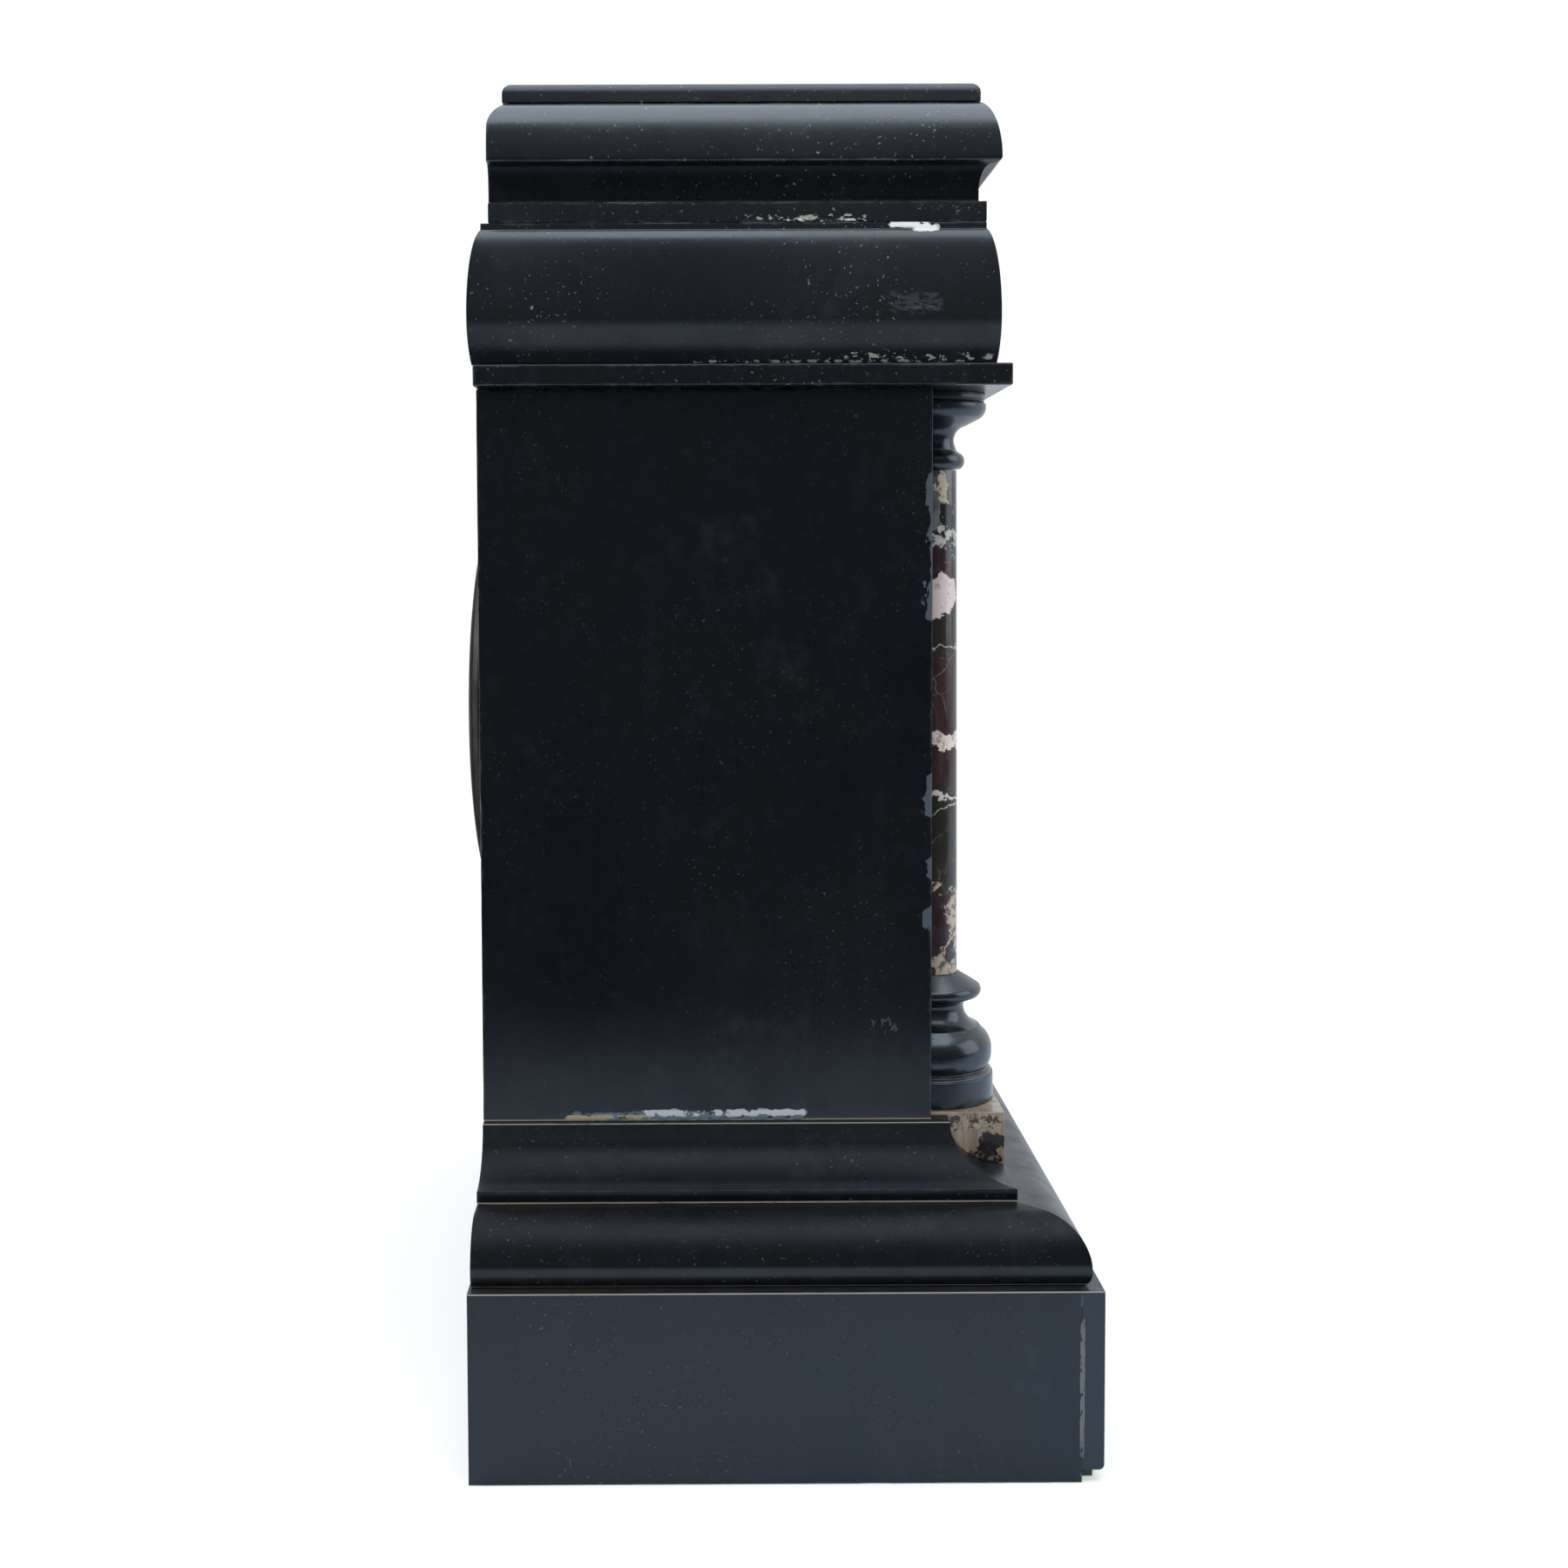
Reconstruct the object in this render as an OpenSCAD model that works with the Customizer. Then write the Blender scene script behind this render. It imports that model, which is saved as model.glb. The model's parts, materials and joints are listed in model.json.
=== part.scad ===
// Marble mantel clock: a black slate case with marble columns, a round striking pendulum movement,
// a hinged glazed bezel in front and a hinged domed cover behind.
// Millimetres. +Z is up, the dial faces -Y, and the origin is the centre of the underside.

/* [Plinth] */
// Width of the plinth
plinth_w = 360; // [320:1:460]
// Depth of the plinth
plinth_d = 181.2; // [170:0.2:230]
// Height of the plinth
plinth_h = 55.5; // [40:0.5:80]
// How far the case above stands in from the plinth's back
case_back_in = 0.6; // [0:0.1:3]
// Thickness of the side and back slabs
slab_t = 8; // [6:0.5:12]
// Thickness of the front slab
front_slab_t = 6.4; // [5:0.2:12]
// Thickness of the felt under the clock, which the front slab stops short by
felt_t = 3.6; // [2:0.2:5]
// Thickness of the wooden bottom board
board_t = 12; // [8:1:20]

/* [Base mouldings] */
// Height of the ovolo course
ovolo_h = 18.5; // [14:0.5:26]
// How far the ovolo stands back from the plinth
ovolo_in = 3; // [0:0.2:6]
// How far the ovolo runs in over its round
ovolo_run = 12.6; // [8:0.2:16]
// Height of the cavetto course
cavetto_h = 19; // [14:0.5:26]
// How far the cavetto's fillet stands back from the plinth
cavetto_in = 21.5; // [16:0.1:26]
// How far the cavetto's hollow runs in
cavetto_run = 17.5; // [10:0.5:18]
// Height of the cavetto's bottom fillet
cavetto_fillet = 4; // [2:0.5:6]

/* [Body] */
// Height of the body between the mouldings and the cornice
body_h = 221; // [200:1:300]
// How far the side panels stand back from the plinth
body_in = 41; // [40:0.5:50]
// How far the side panels' front edges stand back from the plinth's front
body_front_in = 44.5; // [40:0.1:60]
// Thickness of the side panels
panel_t = 6; // [5:0.5:7]
// Depth of the bay that the columns and the dial stand in
bay_d = 20; // [18:0.5:24]
// Height of the dial's centre above the underside
dial_z = 210; // [200:1:225]

/* [Cornice, frieze and crown] */
// Height of the cornice plate
plate_h = 6.5; // [5:0.5:10]
// How far the cornice plate stands out over the side panels
plate_out = 9.3; // [6:0.1:14]
// How far the cornice plate stands out over the side panels' front edges
plate_front_out = 22.4; // [18:0.1:26]
// Height of the bulging frieze
frieze_h = 42; // [30:0.5:60]
// How far the frieze stands back from the cornice plate
frieze_in = 3; // [1:0.1:5]
// How far the frieze's face bulges
frieze_bulge = 4.7; // [3:0.1:7]
// How far the frieze stands out behind the case
frieze_back_out = 1.9; // [0:0.1:3]
// Height of the crown moulding
crown_h = 35.4; // [28:0.2:50]
// Height of the thin top slab
cap_h = 5.8; // [4:0.2:10]
// How far the top slab stands back from the crown
cap_in = 5.6; // [3:0.1:8]

/* [Columns] */
// Width of the marble block under a column
block_w = 42; // [40:0.5:46]
// Height of the block above the body's floor
block_lift = 1; // [0.5:0.25:4]
// Radius of the turned base's drum
drum_r = 19; // [17:0.25:20]
// Radius of the marble shaft at its foot
shaft_r = 7.7; // [6:0.1:9]
// Radius of the marble shaft at its top
shaft_top_r = 7.1; // [5.5:0.1:8.5]
// Height of the turned base
column_base_h = 39.5; // [30:0.5:44]
// Height of the turned capital
capital_h = 23.5; // [18:0.5:30]

/* [Dial and bezel] */
// Radius of the hole in the front panel
dial_hole_r = 58; // [56:0.5:62]
// Radius of the bezel
bezel_r = 66; // [64:0.5:69]
// Radius of the glazed opening
sight_r = 53; // [50:0.5:54]
// Thickness of the glass
glass_t = 1.6; // [1.2:0.1:2.4]
// Radius of the dial plate
dial_r = 55.5; // [54:0.5:55.5]

/* [Rear door] */
// Radius of the domed cover
door_r = 72; // [70:0.5:76]
// Height of the cover's rim
door_rim_h = 6; // [5:0.5:18]
// How far the cover's crown rises above its rim
door_crown_h = 7.5; // [3:0.5:9]
// Thickness of the sheet brass
door_t = 1.2; // [0.8:0.1:2]
// Radius of the hole in the back panel
back_hole_r = 65; // [63:0.5:67]

/* [Movement] */
// Radius of the round plates
plate_r = 44; // [43:0.5:48]
// Thickness of each plate
brass_t = 2.5; // [2:0.1:3]
// Gap between the plates
plate_gap = 30; // [30:0.5:34]
// Radius of each pendulum bob
bob_r = 20; // [14:0.5:24]
// Distance from the pendulum's pivot to the centre of its bob
pendulum_l = 150; // [120:1:155]
// Radius of the bell
bell_r = 37; // [32:0.5:40]
// Running clearance of a pivot or pin in its hole, on the radius
run_fit = 0.05; // [0.02:0.01:0.08]

/* [Hidden] */
$fn = 64;

// Colours
slate = [0.10, 0.105, 0.12];
turned_slate = [0.13, 0.14, 0.16];
marble = [0.35, 0.27, 0.25];
brass = [0.78, 0.62, 0.30];
dark_brass = [0.30, 0.26, 0.22];
steel = [0.35, 0.38, 0.45];
enamel = [0.93, 0.91, 0.85];
tiny = 0.01;

// Levels of the courses
ovolo_z = plinth_h;
cavetto_z = ovolo_z + ovolo_h;
body_z = cavetto_z + cavetto_h;
plate_z = body_z + body_h;
frieze_z = plate_z + plate_h;
crown_z = frieze_z + frieze_h;
cap_z = crown_z + crown_h;

// Plan lines. The case's back above the plinth is one plane
plinth_y = plinth_d / 2;
front_y = -plinth_y;
back_y = plinth_y - case_back_in;
plinth_x = plinth_w / 2;
body_x = plinth_x - body_in;
inner_x = body_x - panel_t;
body_front_y = front_y + body_front_in;
panel_y = body_front_y + bay_d;
panel_back_y = panel_y + slab_t;
base_bar_x = inner_x - 2;
base_bar_y = panel_back_y + 1;
plate_x = body_x + plate_out;
plate_y = body_front_y - plate_front_out;
frieze_x = plate_x - frieze_in;
frieze_y = plate_y + frieze_in;
frieze_back_y = back_y + frieze_back_out;
frieze_bar = 26;
crown_end_r = 8.5;
cap_ease_r = 3.2;
crown_back_in = 4.3;
crown_back_y = back_y - crown_back_in;
crown_x = frieze_x;
crown_y = frieze_y;
cap_x = crown_x - cap_in;
cap_y = crown_y + cap_in;
cap_back_in = 4.3;
cap_back_y = crown_back_y - cap_back_in;

// Column places
block_side_in = 4;
drum_front_gap = 0.7;
column_x = body_x - block_side_in - block_w / 2;
block_front_y = front_y + cavetto_in;
block_z = body_z + block_lift;
column_y = block_front_y + drum_r + drum_front_gap;
shaft_z = block_z + column_base_h;
capital_z = plate_z - capital_h;

// The movement's own frame: x right, y up and z towards the dial, from the back plate's inner face
ring_flange = 2;
ring_depth = 13;
ledge_t = 1.5;
ledge_y = panel_y + ring_depth;
front_plate_y = ledge_y;
back_inner_y = front_plate_y + brass_t + plate_gap;
back_plate_y = back_inner_y + brass_t;
module movement() { translate([0, back_inner_y, dial_z]) rotate([90, 0, 0]) children(); }
front_in = plate_gap;
front_out = plate_gap + brass_t;

// Wheel trains: teeth and modules
barrel_teeth = 72;
barrel_m = 0.56;
barrel_pinion = 12;
train_teeth = 84;
train_pinion = 7;
centre_m = 0.40;
third_m = 0.32;
escape_teeth = 32;
escape_r = 11;
strike_teeth = 78;
strike_m = 0.36;
pin_teeth = 66;
pin_m = 0.30;
lock_teeth = 48;
lock_m = 0.28;
motion_m = 0.5;
cannon_teeth = 14;
minute_teeth = 42;
minute_pinion = 10;
hour_teeth = 40;
pivot_r = 0.5;
arbor_r = 0.6;
// The pallets' and the hammer's arbors are stouter
stout_r = 1;
hammer_r = 0.8;

function polar(r, a) = [r * cos(a), r * sin(a)];
function reach(m, a, b) = m * (a + b) / 2;
function meet(p, rp, q, rq, s) = let(d = norm(q - p), a = (d * d + rp * rp - rq * rq) / (2 * d),
    h = sqrt(max(0, rp * rp - a * a)), u = (q - p) / d) p + a * u + s * h * [-u[1], u[0]];
function bearing(p, q) = atan2(q[1] - p[1], q[0] - p[0]);

// Arbor places in the movement's frame
going_at = polar(reach(barrel_m, barrel_teeth, barrel_pinion), -25);
strike_at = [-going_at[0], going_at[1]];
centre_at = [0, 0];
escape_at = [0, 19.5];
third_at = meet(centre_at, reach(centre_m, train_teeth, train_pinion),
    escape_at, reach(third_m, train_teeth, train_pinion), -1);
pallet_at = [0, 33];
strike2_at = strike_at + polar(reach(barrel_m, barrel_teeth, barrel_pinion), 100);
pin_at = strike2_at + polar(reach(strike_m, strike_teeth, train_pinion), 50);
lock_at = pin_at + polar(reach(pin_m, pin_teeth, train_pinion), 110);
fly_at = lock_at + polar(reach(lock_m, lock_teeth, train_pinion), 25);
minute_at = polar(reach(motion_m, cannon_teeth, minute_teeth), 125);
hammer_at = polar(plate_r - 3, 240);

// Angle at which a wheel of b teeth meets a wheel of a teeth that stands at angle t,
// with the line of centres at angle f
function mesh_angle(a, b, t, f) = f + 180 - 360 / b * (0.5 - (f - t) * a / 360);

// Points on an elliptic arc
function arc(cx, cy, rx, ry, a0, a1, n = 12) =
    [for (i = [0:n]) let(a = a0 + (a1 - a0) * i / n) [cx + rx * cos(a), cy + ry * sin(a)]];

// Moulding profiles: x is 0 at the outermost line and negative inwards, y is the height
function ovolo_profile(w) = concat([[-w, 0]], arc(-2.4, 4.5, 2.4, 4.5, -90, 0, 5),
    arc(-ovolo_run, 4.5, ovolo_run, ovolo_h - 4.5, 8, 90), [[-w, ovolo_h]]);
function cavetto_curve() = arc(0, cavetto_h - 1, cavetto_run, cavetto_h - 1 - cavetto_fillet, 270, 180);
function cavetto_profile(w) = concat([[-w, 0], [0, 0]], cavetto_curve(),
    [[-cavetto_run, cavetto_h], [-w, cavetto_h]]);
// The frieze bulges most at this height, and a plain neck tops it
frieze_low = 14.5;
frieze_neck = 1.8;
neck_in = 4;
function frieze_profile(w) = concat([[-w, 0]],
    arc(-frieze_bulge, frieze_low, frieze_bulge, 21, -asin(frieze_low / 21), 0, 6),
    arc(-frieze_bulge, frieze_low, frieze_bulge, frieze_h - frieze_neck - frieze_low, 6, 80),
    [[-neck_in, frieze_h - frieze_neck], [-neck_in, frieze_h], [-w, frieze_h]]);
// The crown has a fillet, a deep hollow, a lip and a long round
crown_lip = 17;
function crown_profile(w) = concat([[-w, 0], [-neck_in, 0], [-neck_in, 6], [-6.1, 6]],
    arc(-2.7, 9.5, 3.4, crown_lip - 9.7, 180, 100, 8), [[-0.9, crown_lip], [-0.2, crown_lip + 0.4]],
    arc(-7, crown_lip + 1, 7, crown_h - crown_lip - 1, 0, 90), [[-w, crown_h]]);

// A bar of moulding along the front, mitred into bars along the sides whose inner faces are at xi
module front_bar(x, y, z, yi, xi) {
    far = 40;
    intersection() {
        translate([x + far, y, z]) rotate([90, 0, -90]) linear_extrude(2 * (x + far)) children();
        translate([0, 0, z - 1]) linear_extrude(100)
            polygon([[-xi, yi], [xi, yi], [xi, y + x - xi], [x + far, y - far], [-x - far, y - far],
                [-xi, y + x - xi]]);
    }
}
// A bar of moulding along the right side, from the front mitre back to yb
module side_bar(x, y, z, yb, xi) {
    far = 40;
    intersection() {
        translate([x, yb, z]) rotate([90, 0, 0]) linear_extrude(yb - y + far) children();
        translate([0, 0, z - 1]) linear_extrude(100)
            polygon([[xi, yb], [xi, y + x - xi], [x + far, y - far], [x + far, yb]]);
    }
}
module both_sides() {
    children();
    mirror([1, 0, 0]) children();
}
// A box between two corners
module block(a, b) { translate(a) cube(b - a); }
// A rectangle whose two top corners are round
module eased_top(w, h, r) {
    polygon(concat([[-w / 2, 0], [w / 2, 0]], arc(w / 2 - r, h - r, r, r, 0, 90, 8),
        arc(r - w / 2, h - r, r, r, 90, 180, 8)));
}
// A slab whose top edges are round on all four sides
module eased_slab(x, y0, y1, z, h, r) {
    intersection() {
        translate([0, y1, z]) rotate([90, 0, 0]) linear_extrude(y1 - y0) eased_top(2 * x, h, r);
        translate([-x, (y0 + y1) / 2, z]) rotate([90, 0, 90]) linear_extrude(2 * x) eased_top(y1 - y0, h, r);
    }
}

module felt_pad() {
    color([0.05, 0.30, 0.14]) {
        block([-plinth_x + slab_t, front_y + front_slab_t, 0],
            [plinth_x - slab_t, plinth_y - slab_t, felt_t]);
        block([-plinth_x + 4, front_y + 2.6, 0], [plinth_x - 4, front_y + front_slab_t, felt_t]);
    }
}
module base_board() {
    color([0.42, 0.28, 0.16])
        block([-plinth_x + slab_t, front_y + front_slab_t, felt_t],
            [plinth_x - slab_t, plinth_y - slab_t, felt_t + board_t]);
}
module plinth_front() {
    lower_r = 1.6;
    color(slate) difference() {
        block([-plinth_x, front_y, felt_t], [plinth_x, front_y + front_slab_t, plinth_h]);
        translate([-plinth_x - 1, front_y, felt_t]) rotate([90, 0, 90]) linear_extrude(plinth_w + 2)
            difference() {
                translate([-1, -1]) square(lower_r + 1);
                translate([lower_r, lower_r]) circle(lower_r);
            }
    }
}
module plinth_side() {
    color(slate) block([plinth_x - slab_t, front_y + front_slab_t, 0], [plinth_x, plinth_y, plinth_h]);
}
module plinth_right() { plinth_side(); }
module plinth_left() { mirror([1, 0, 0]) plinth_side(); }
module plinth_back() {
    color(slate) block([-plinth_x + slab_t, plinth_y - slab_t, 0], [plinth_x - slab_t, plinth_y, plinth_h]);
}

module ovolo_front() {
    color(slate) front_bar(plinth_x - ovolo_in, front_y + ovolo_in, ovolo_z, base_bar_y, base_bar_x)
        polygon(ovolo_profile(base_bar_y - front_y));
}
module ovolo_sides() {
    color(slate) both_sides() side_bar(plinth_x - ovolo_in, front_y + ovolo_in, ovolo_z, back_y, base_bar_x)
        polygon(ovolo_profile(plinth_x - base_bar_x));
}
module cavetto_front() {
    color(slate) front_bar(plinth_x - cavetto_in, front_y + cavetto_in, cavetto_z, base_bar_y, base_bar_x)
        polygon(cavetto_profile(base_bar_y - front_y));
}
module cavetto_sides() {
    color(slate) both_sides() side_bar(plinth_x - cavetto_in, front_y + cavetto_in, cavetto_z, back_y,
        base_bar_x) polygon(cavetto_profile(plinth_x - base_bar_x));
}
module base_back() {
    color(slate) block([-base_bar_x, back_y - slab_t, ovolo_z], [base_bar_x, back_y, body_z]);
}

module side_panel() {
    color(slate) block([inner_x, body_front_y, body_z], [body_x, back_y, plate_z]);
}
module side_panel_right() { side_panel(); }
module side_panel_left() { mirror([1, 0, 0]) side_panel(); }
module front_panel() {
    color(slate) difference() {
        block([-inner_x, panel_y, body_z], [inner_x, panel_back_y, plate_z]);
        translate([0, panel_y - 1, dial_z]) rotate([-90, 0, 0]) cylinder(r = dial_hole_r, h = slab_t + 2);
    }
}
module back_panel() {
    color(slate) difference() {
        block([-inner_x, back_y - slab_t, body_z], [inner_x, back_y, plate_z]);
        translate([0, back_y - slab_t - 1, dial_z]) rotate([-90, 0, 0])
            cylinder(r = back_hole_r, h = slab_t + 2);
    }
}
module cornice_plate() {
    color(slate) block([-plate_x, plate_y, plate_z], [plate_x, back_y, frieze_z]);
}

module frieze_front() {
    color(slate) front_bar(frieze_x, frieze_y, frieze_z, frieze_y + frieze_bar, frieze_x - frieze_bar)
        polygon(frieze_profile(frieze_bar));
}
// The side bars are mitred at both ends, since the bulge returns along the back
module frieze_sides() {
    color(slate) both_sides() intersection() {
        side_bar(frieze_x, frieze_y, frieze_z, frieze_back_y, frieze_x - frieze_bar)
            polygon(frieze_profile(frieze_bar));
        translate([0, 0, frieze_z - 1]) linear_extrude(100)
            polygon([[0, frieze_y - 10], [0, frieze_back_y - frieze_x], [frieze_x + 10, frieze_back_y + 10],
                [frieze_x + 10, frieze_y - 10]]);
    }
}
module frieze_back() {
    color(slate) mirror([0, 1, 0])
        front_bar(frieze_x, -frieze_back_y, frieze_z, -frieze_back_y + frieze_bar, frieze_x - frieze_bar)
            polygon(frieze_profile(frieze_bar));
}
module crown_front() {
    color(slate) front_bar(crown_x, crown_y, crown_z, crown_y + frieze_bar, crown_x - frieze_bar)
        polygon(crown_profile(frieze_bar));
}
// The rear ends are cut square and their top corner is rounded over
module crown_sides() {
    color(slate) both_sides() intersection() {
        side_bar(crown_x, crown_y, crown_z, crown_back_y, crown_x - frieze_bar)
            polygon(crown_profile(frieze_bar));
        crown_end();
    }
}
module crown_end() {
    depth = crown_back_y - crown_y + 20;
    translate([-plinth_x, crown_back_y - depth / 2, crown_z]) rotate([90, 0, 90])
        linear_extrude(plinth_w) eased_top(depth, crown_h, crown_end_r);
}
module crown_back() {
    color(slate) intersection() {
        block([-crown_x + frieze_bar, crown_back_y - slab_t, crown_z],
            [crown_x - frieze_bar, crown_back_y, cap_z]);
        crown_end();
    }
}
module top_slab() {
    color(slate) eased_slab(cap_x, cap_y, cap_back_y, cap_z, cap_h, cap_ease_r);
}

// A marble block, cut underneath to sit on the front cavetto
module column_blocks() {
    curve = [for (p = cavetto_curve()) [-p[0], p[1]]];
    back = panel_y - 1.2 - block_front_y;
    color(marble) both_sides() difference() {
        translate([column_x - block_w / 2, block_front_y, cavetto_z]) rotate([90, 0, 90])
            linear_extrude(block_w) polygon(concat([[0, cavetto_h + block_lift]], curve,
                [[cavetto_run, cavetto_h], [back, cavetto_h], [back, cavetto_h + block_lift]]));
        block([inner_x - 0.2, body_front_y - 0.2, body_z], [body_x, back_y, plate_z]);
    }
}
module at_columns(z) { both_sides() translate([column_x, column_y, z]) children(); }
// Turned profiles: x is the radius, y the height
base_profile = concat([[0, 0], [drum_r, 0], [drum_r, 8.2], [drum_r - 0.8, 8.6], [drum_r - 0.8, 9.4]],
    arc(drum_r - 8.4, 14.6, 8, 8, -35, 0, 5), arc(drum_r - 8.4, 15.4, 8, 8, 0, 52, 8),
    arc(16.2, 29, 6.45, 6.3, 255, 180, 10), arc(13.2, 28.9, 3.45, 2.9, 170, 100, 5),
    arc(13.2, 34, 2, 2.1, -80, 50, 8), [[shaft_r + 0.5, column_base_h], [0, column_base_h]]);
capital_profile = concat([[0, 0]], arc(7.3, 2.9, 2.2, 2.6, -70, 70, 8), [[7, 6.2]],
    arc(10.9, 9.3, 4.7, 4.6, 200, 105, 8), arc(12.1, 19.6, 4, 4.2, -60, 10, 8),
    [[15.1, capital_h - 2.2], [15.8, capital_h - 1.9], [15.8, capital_h], [0, capital_h]]);
module column_bases() {
    color(turned_slate) at_columns(block_z) rotate_extrude() polygon(base_profile);
}
module column_shafts() {
    color(marble) at_columns(shaft_z) cylinder(r1 = shaft_r, r2 = shaft_top_r, h = capital_z - shaft_z);
}
module column_capitals() {
    color(turned_slate) at_columns(capital_z) rotate_extrude() polygon(capital_profile);
}

// Round pieces about the dial's axis: x is the radius and y runs from front to back
module about_dial(y) { translate([0, y, dial_z]) rotate([-90, 0, 0]) children(); }
module ring(ro, ri, h) {
    rotate_extrude() translate([ri, 0]) square([ro - ri, h]);
}
hinge_r = 2;
hinge_pin_r = 1;
knuckle = 10;
hinge_gap = 0.3;
bezel_y = panel_y - ring_flange - hinge_gap;
bezel_pin = [bezel_r + 3.4, bezel_y + 0.15];
door_y = back_y + ring_flange + hinge_gap;
door_pin = [door_r + 3.6, door_y - 0.15];
module pin_hole(at) { translate([at[0], at[1], dial_z - 40]) cylinder(r = hinge_pin_r + run_fit, h = 80); }
// One knuckle with the leaf that ties it to the edge of a ring at radius r
module hinge_knuckle(at, z0, z1, r, y0, y1) {
    translate([at[0], at[1], dial_z + z0]) cylinder(r = hinge_r, h = z1 - z0);
    block([r, min(y0, y1), dial_z + z0], [at[0], max(y0, y1), dial_z + z1]);
}

module front_ring() {
    color(brass) difference() {
        union() {
            about_dial(panel_y - ring_flange) ring(bezel_r - 1, sight_r + 3.3, ring_flange);
            about_dial(panel_y - tiny) ring(dial_hole_r - 0.2, dial_r + 0.8, ring_depth + tiny);
            about_dial(panel_y + 2.9) ring(dial_r + 1, dial_r - 2.5, 1.2);
            about_dial(ledge_y - ledge_t) ring(dial_r + 1, plate_r - 3, ledge_t);
            for (s = [-1, 1])
                hinge_knuckle(bezel_pin, s > 0 ? knuckle / 2 + hinge_gap : -knuckle * 1.3 - hinge_gap,
                    s > 0 ? knuckle * 1.3 + hinge_gap : -knuckle / 2 - hinge_gap, bezel_r - 4,
                    panel_y - ring_flange, panel_y - hinge_gap);
        }
        translate([bezel_pin[0], bezel_pin[1], dial_z - 20]) cylinder(r = hinge_pin_r, h = 40);
        for (s = [-1, 1]) translate([s * rod_x, ledge_y - 5, dial_z]) rotate([-90, 0, 0])
            cylinder(r = rod_r, h = 10);
    }
}
rod_x = 50;
rod_r = 1.6;
hole_r = 2.6;
module dial() {
    color(enamel) about_dial(panel_y + 1.4) difference() {
        cylinder(r = dial_r, h = 1.5);
        translate([0, 0, -1]) cylinder(r = 4.2, h = 4);
        for (p = [going_at, strike_at]) translate([p[0], -p[1], -1]) cylinder(r = hole_r, h = 4);
    }
}
// Bezel section: outer flange, raised round and an inner slope down to the glass
glass_rest = 2.2;
bezel_profile = concat([[sight_r, glass_rest], [bezel_r - 6, glass_rest], [bezel_r - 6, 0],
    [bezel_r - 0.2, 0], [bezel_r, 0.4], [bezel_r, 2]],
    arc(bezel_r - 4.5, 2.6, 3.7, 5.1, 0, 90, 8), arc(sight_r, 7.2, 5.5, 3.2, 0, -90, 6));
module bezel() {
    color(brass) difference() {
        union() {
            translate([0, bezel_y, dial_z]) rotate([90, 0, 0]) rotate_extrude() polygon(bezel_profile);
            hinge_knuckle(bezel_pin, -knuckle / 2, knuckle / 2, bezel_r - 2, bezel_y - hinge_gap,
                bezel_y - glass_rest);
        }
        pin_hole(bezel_pin);
    }
}
module bezel_glass() {
    color([0.8, 0.9, 0.95, 0.35]) about_dial(bezel_y - glass_rest + 0.001)
        cylinder(r = sight_r + 5, h = glass_t);
}

// Gear outline: straight-flanked teeth, thin enough to run with backlash
function tooth(m, w, add) = [[-0.23 * w, -1.25 * m], [-0.18 * w, 0], [-0.07 * w, add * m],
    [0.07 * w, add * m], [0.18 * w, 0], [0.23 * w, -1.25 * m]];
// A pinion's leaves are slimmer and shorter than a wheel's teeth
function gear_points(n, m) = let(few = n < 20, profile = tooth(m, few ? 0.72 : 0.9, few ? 0.55 : 0.85))
    [for (i = [0:n - 1]) for (k = profile) polar(m * n / 2 + k[1], (i + k[0]) * 360 / n)];
// Crossed-out wheel: a toothed rim, a hub and spokes
module wheel(n, m, h, spokes = 5) {
    rim = m * n / 2 - 1.25 * m - 1.4;
    linear_extrude(h) difference() {
        polygon(gear_points(n, m));
        difference() {
            circle(rim);
            circle(3);
            for (i = [0:spokes - 1]) rotate(i * 360 / spokes) translate([0, -0.55]) square([rim + 1, 1.1]);
        }
    }
}
module pinion(n, m, h) { linear_extrude(h) polygon(gear_points(n, m)); }
// An arbor with a pivot at each end, running in both plates
end_shake = 0.3;
module arbor(z0 = end_shake, z1 = plate_gap - end_shake, r = arbor_r) {
    translate([0, 0, z0]) cylinder(r = r, h = z1 - z0);
    translate([0, 0, -brass_t]) cylinder(r = pivot_r, h = plate_gap + 2 * brass_t);
}
module at(p, a = 0) { movement() translate([p[0], p[1], 0]) rotate(a) children(); }

// Meshing angles, all from the centre wheel and the strike's second wheel at zero
barrel_turn = mesh_angle(barrel_pinion, barrel_teeth, 0, bearing(centre_at, going_at));
third_turn = mesh_angle(train_teeth, train_pinion, 0, bearing(centre_at, third_at));
escape_turn = mesh_angle(train_teeth, train_pinion, third_turn, bearing(third_at, escape_at));
strike_turn = mesh_angle(barrel_pinion, barrel_teeth, 0, bearing(strike2_at, strike_at));
pin_turn = mesh_angle(strike_teeth, train_pinion, 0, bearing(strike2_at, pin_at));
lock_turn = mesh_angle(pin_teeth, train_pinion, pin_turn, bearing(pin_at, lock_at));
fly_turn = mesh_angle(lock_teeth, train_pinion, lock_turn, bearing(lock_at, fly_at));
minute_turn = mesh_angle(cannon_teeth, minute_teeth, 0, bearing(centre_at, minute_at));
hour_turn = mesh_angle(minute_pinion, hour_teeth, minute_turn, bearing(minute_at, centre_at));

drum_z = 3;
drum_h = 16;
barrel_arbor_r = 2.6;
barrel_front_r = 1.8;
barrel_back_r = 1.6;
key_w = 2.8;
// teeth_z is the level of the toothed rim on the drum
module barrel_drum(turn, teeth_z) {
    r = barrel_m * barrel_teeth / 2;
    rotate(turn) difference() {
        union() {
            translate([0, 0, drum_z]) cylinder(r = r - 1.6, h = drum_h);
            translate([0, 0, teeth_z]) linear_extrude(3)
                polygon(gear_points(barrel_teeth, barrel_m));
        }
        translate([0, 0, drum_z + 1.2]) cylinder(r = r - 2.8, h = drum_h - 2.4);
        translate([0, 0, drum_z - 1]) cylinder(r = barrel_arbor_r + run_fit, h = drum_h + 2);
    }
}
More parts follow.
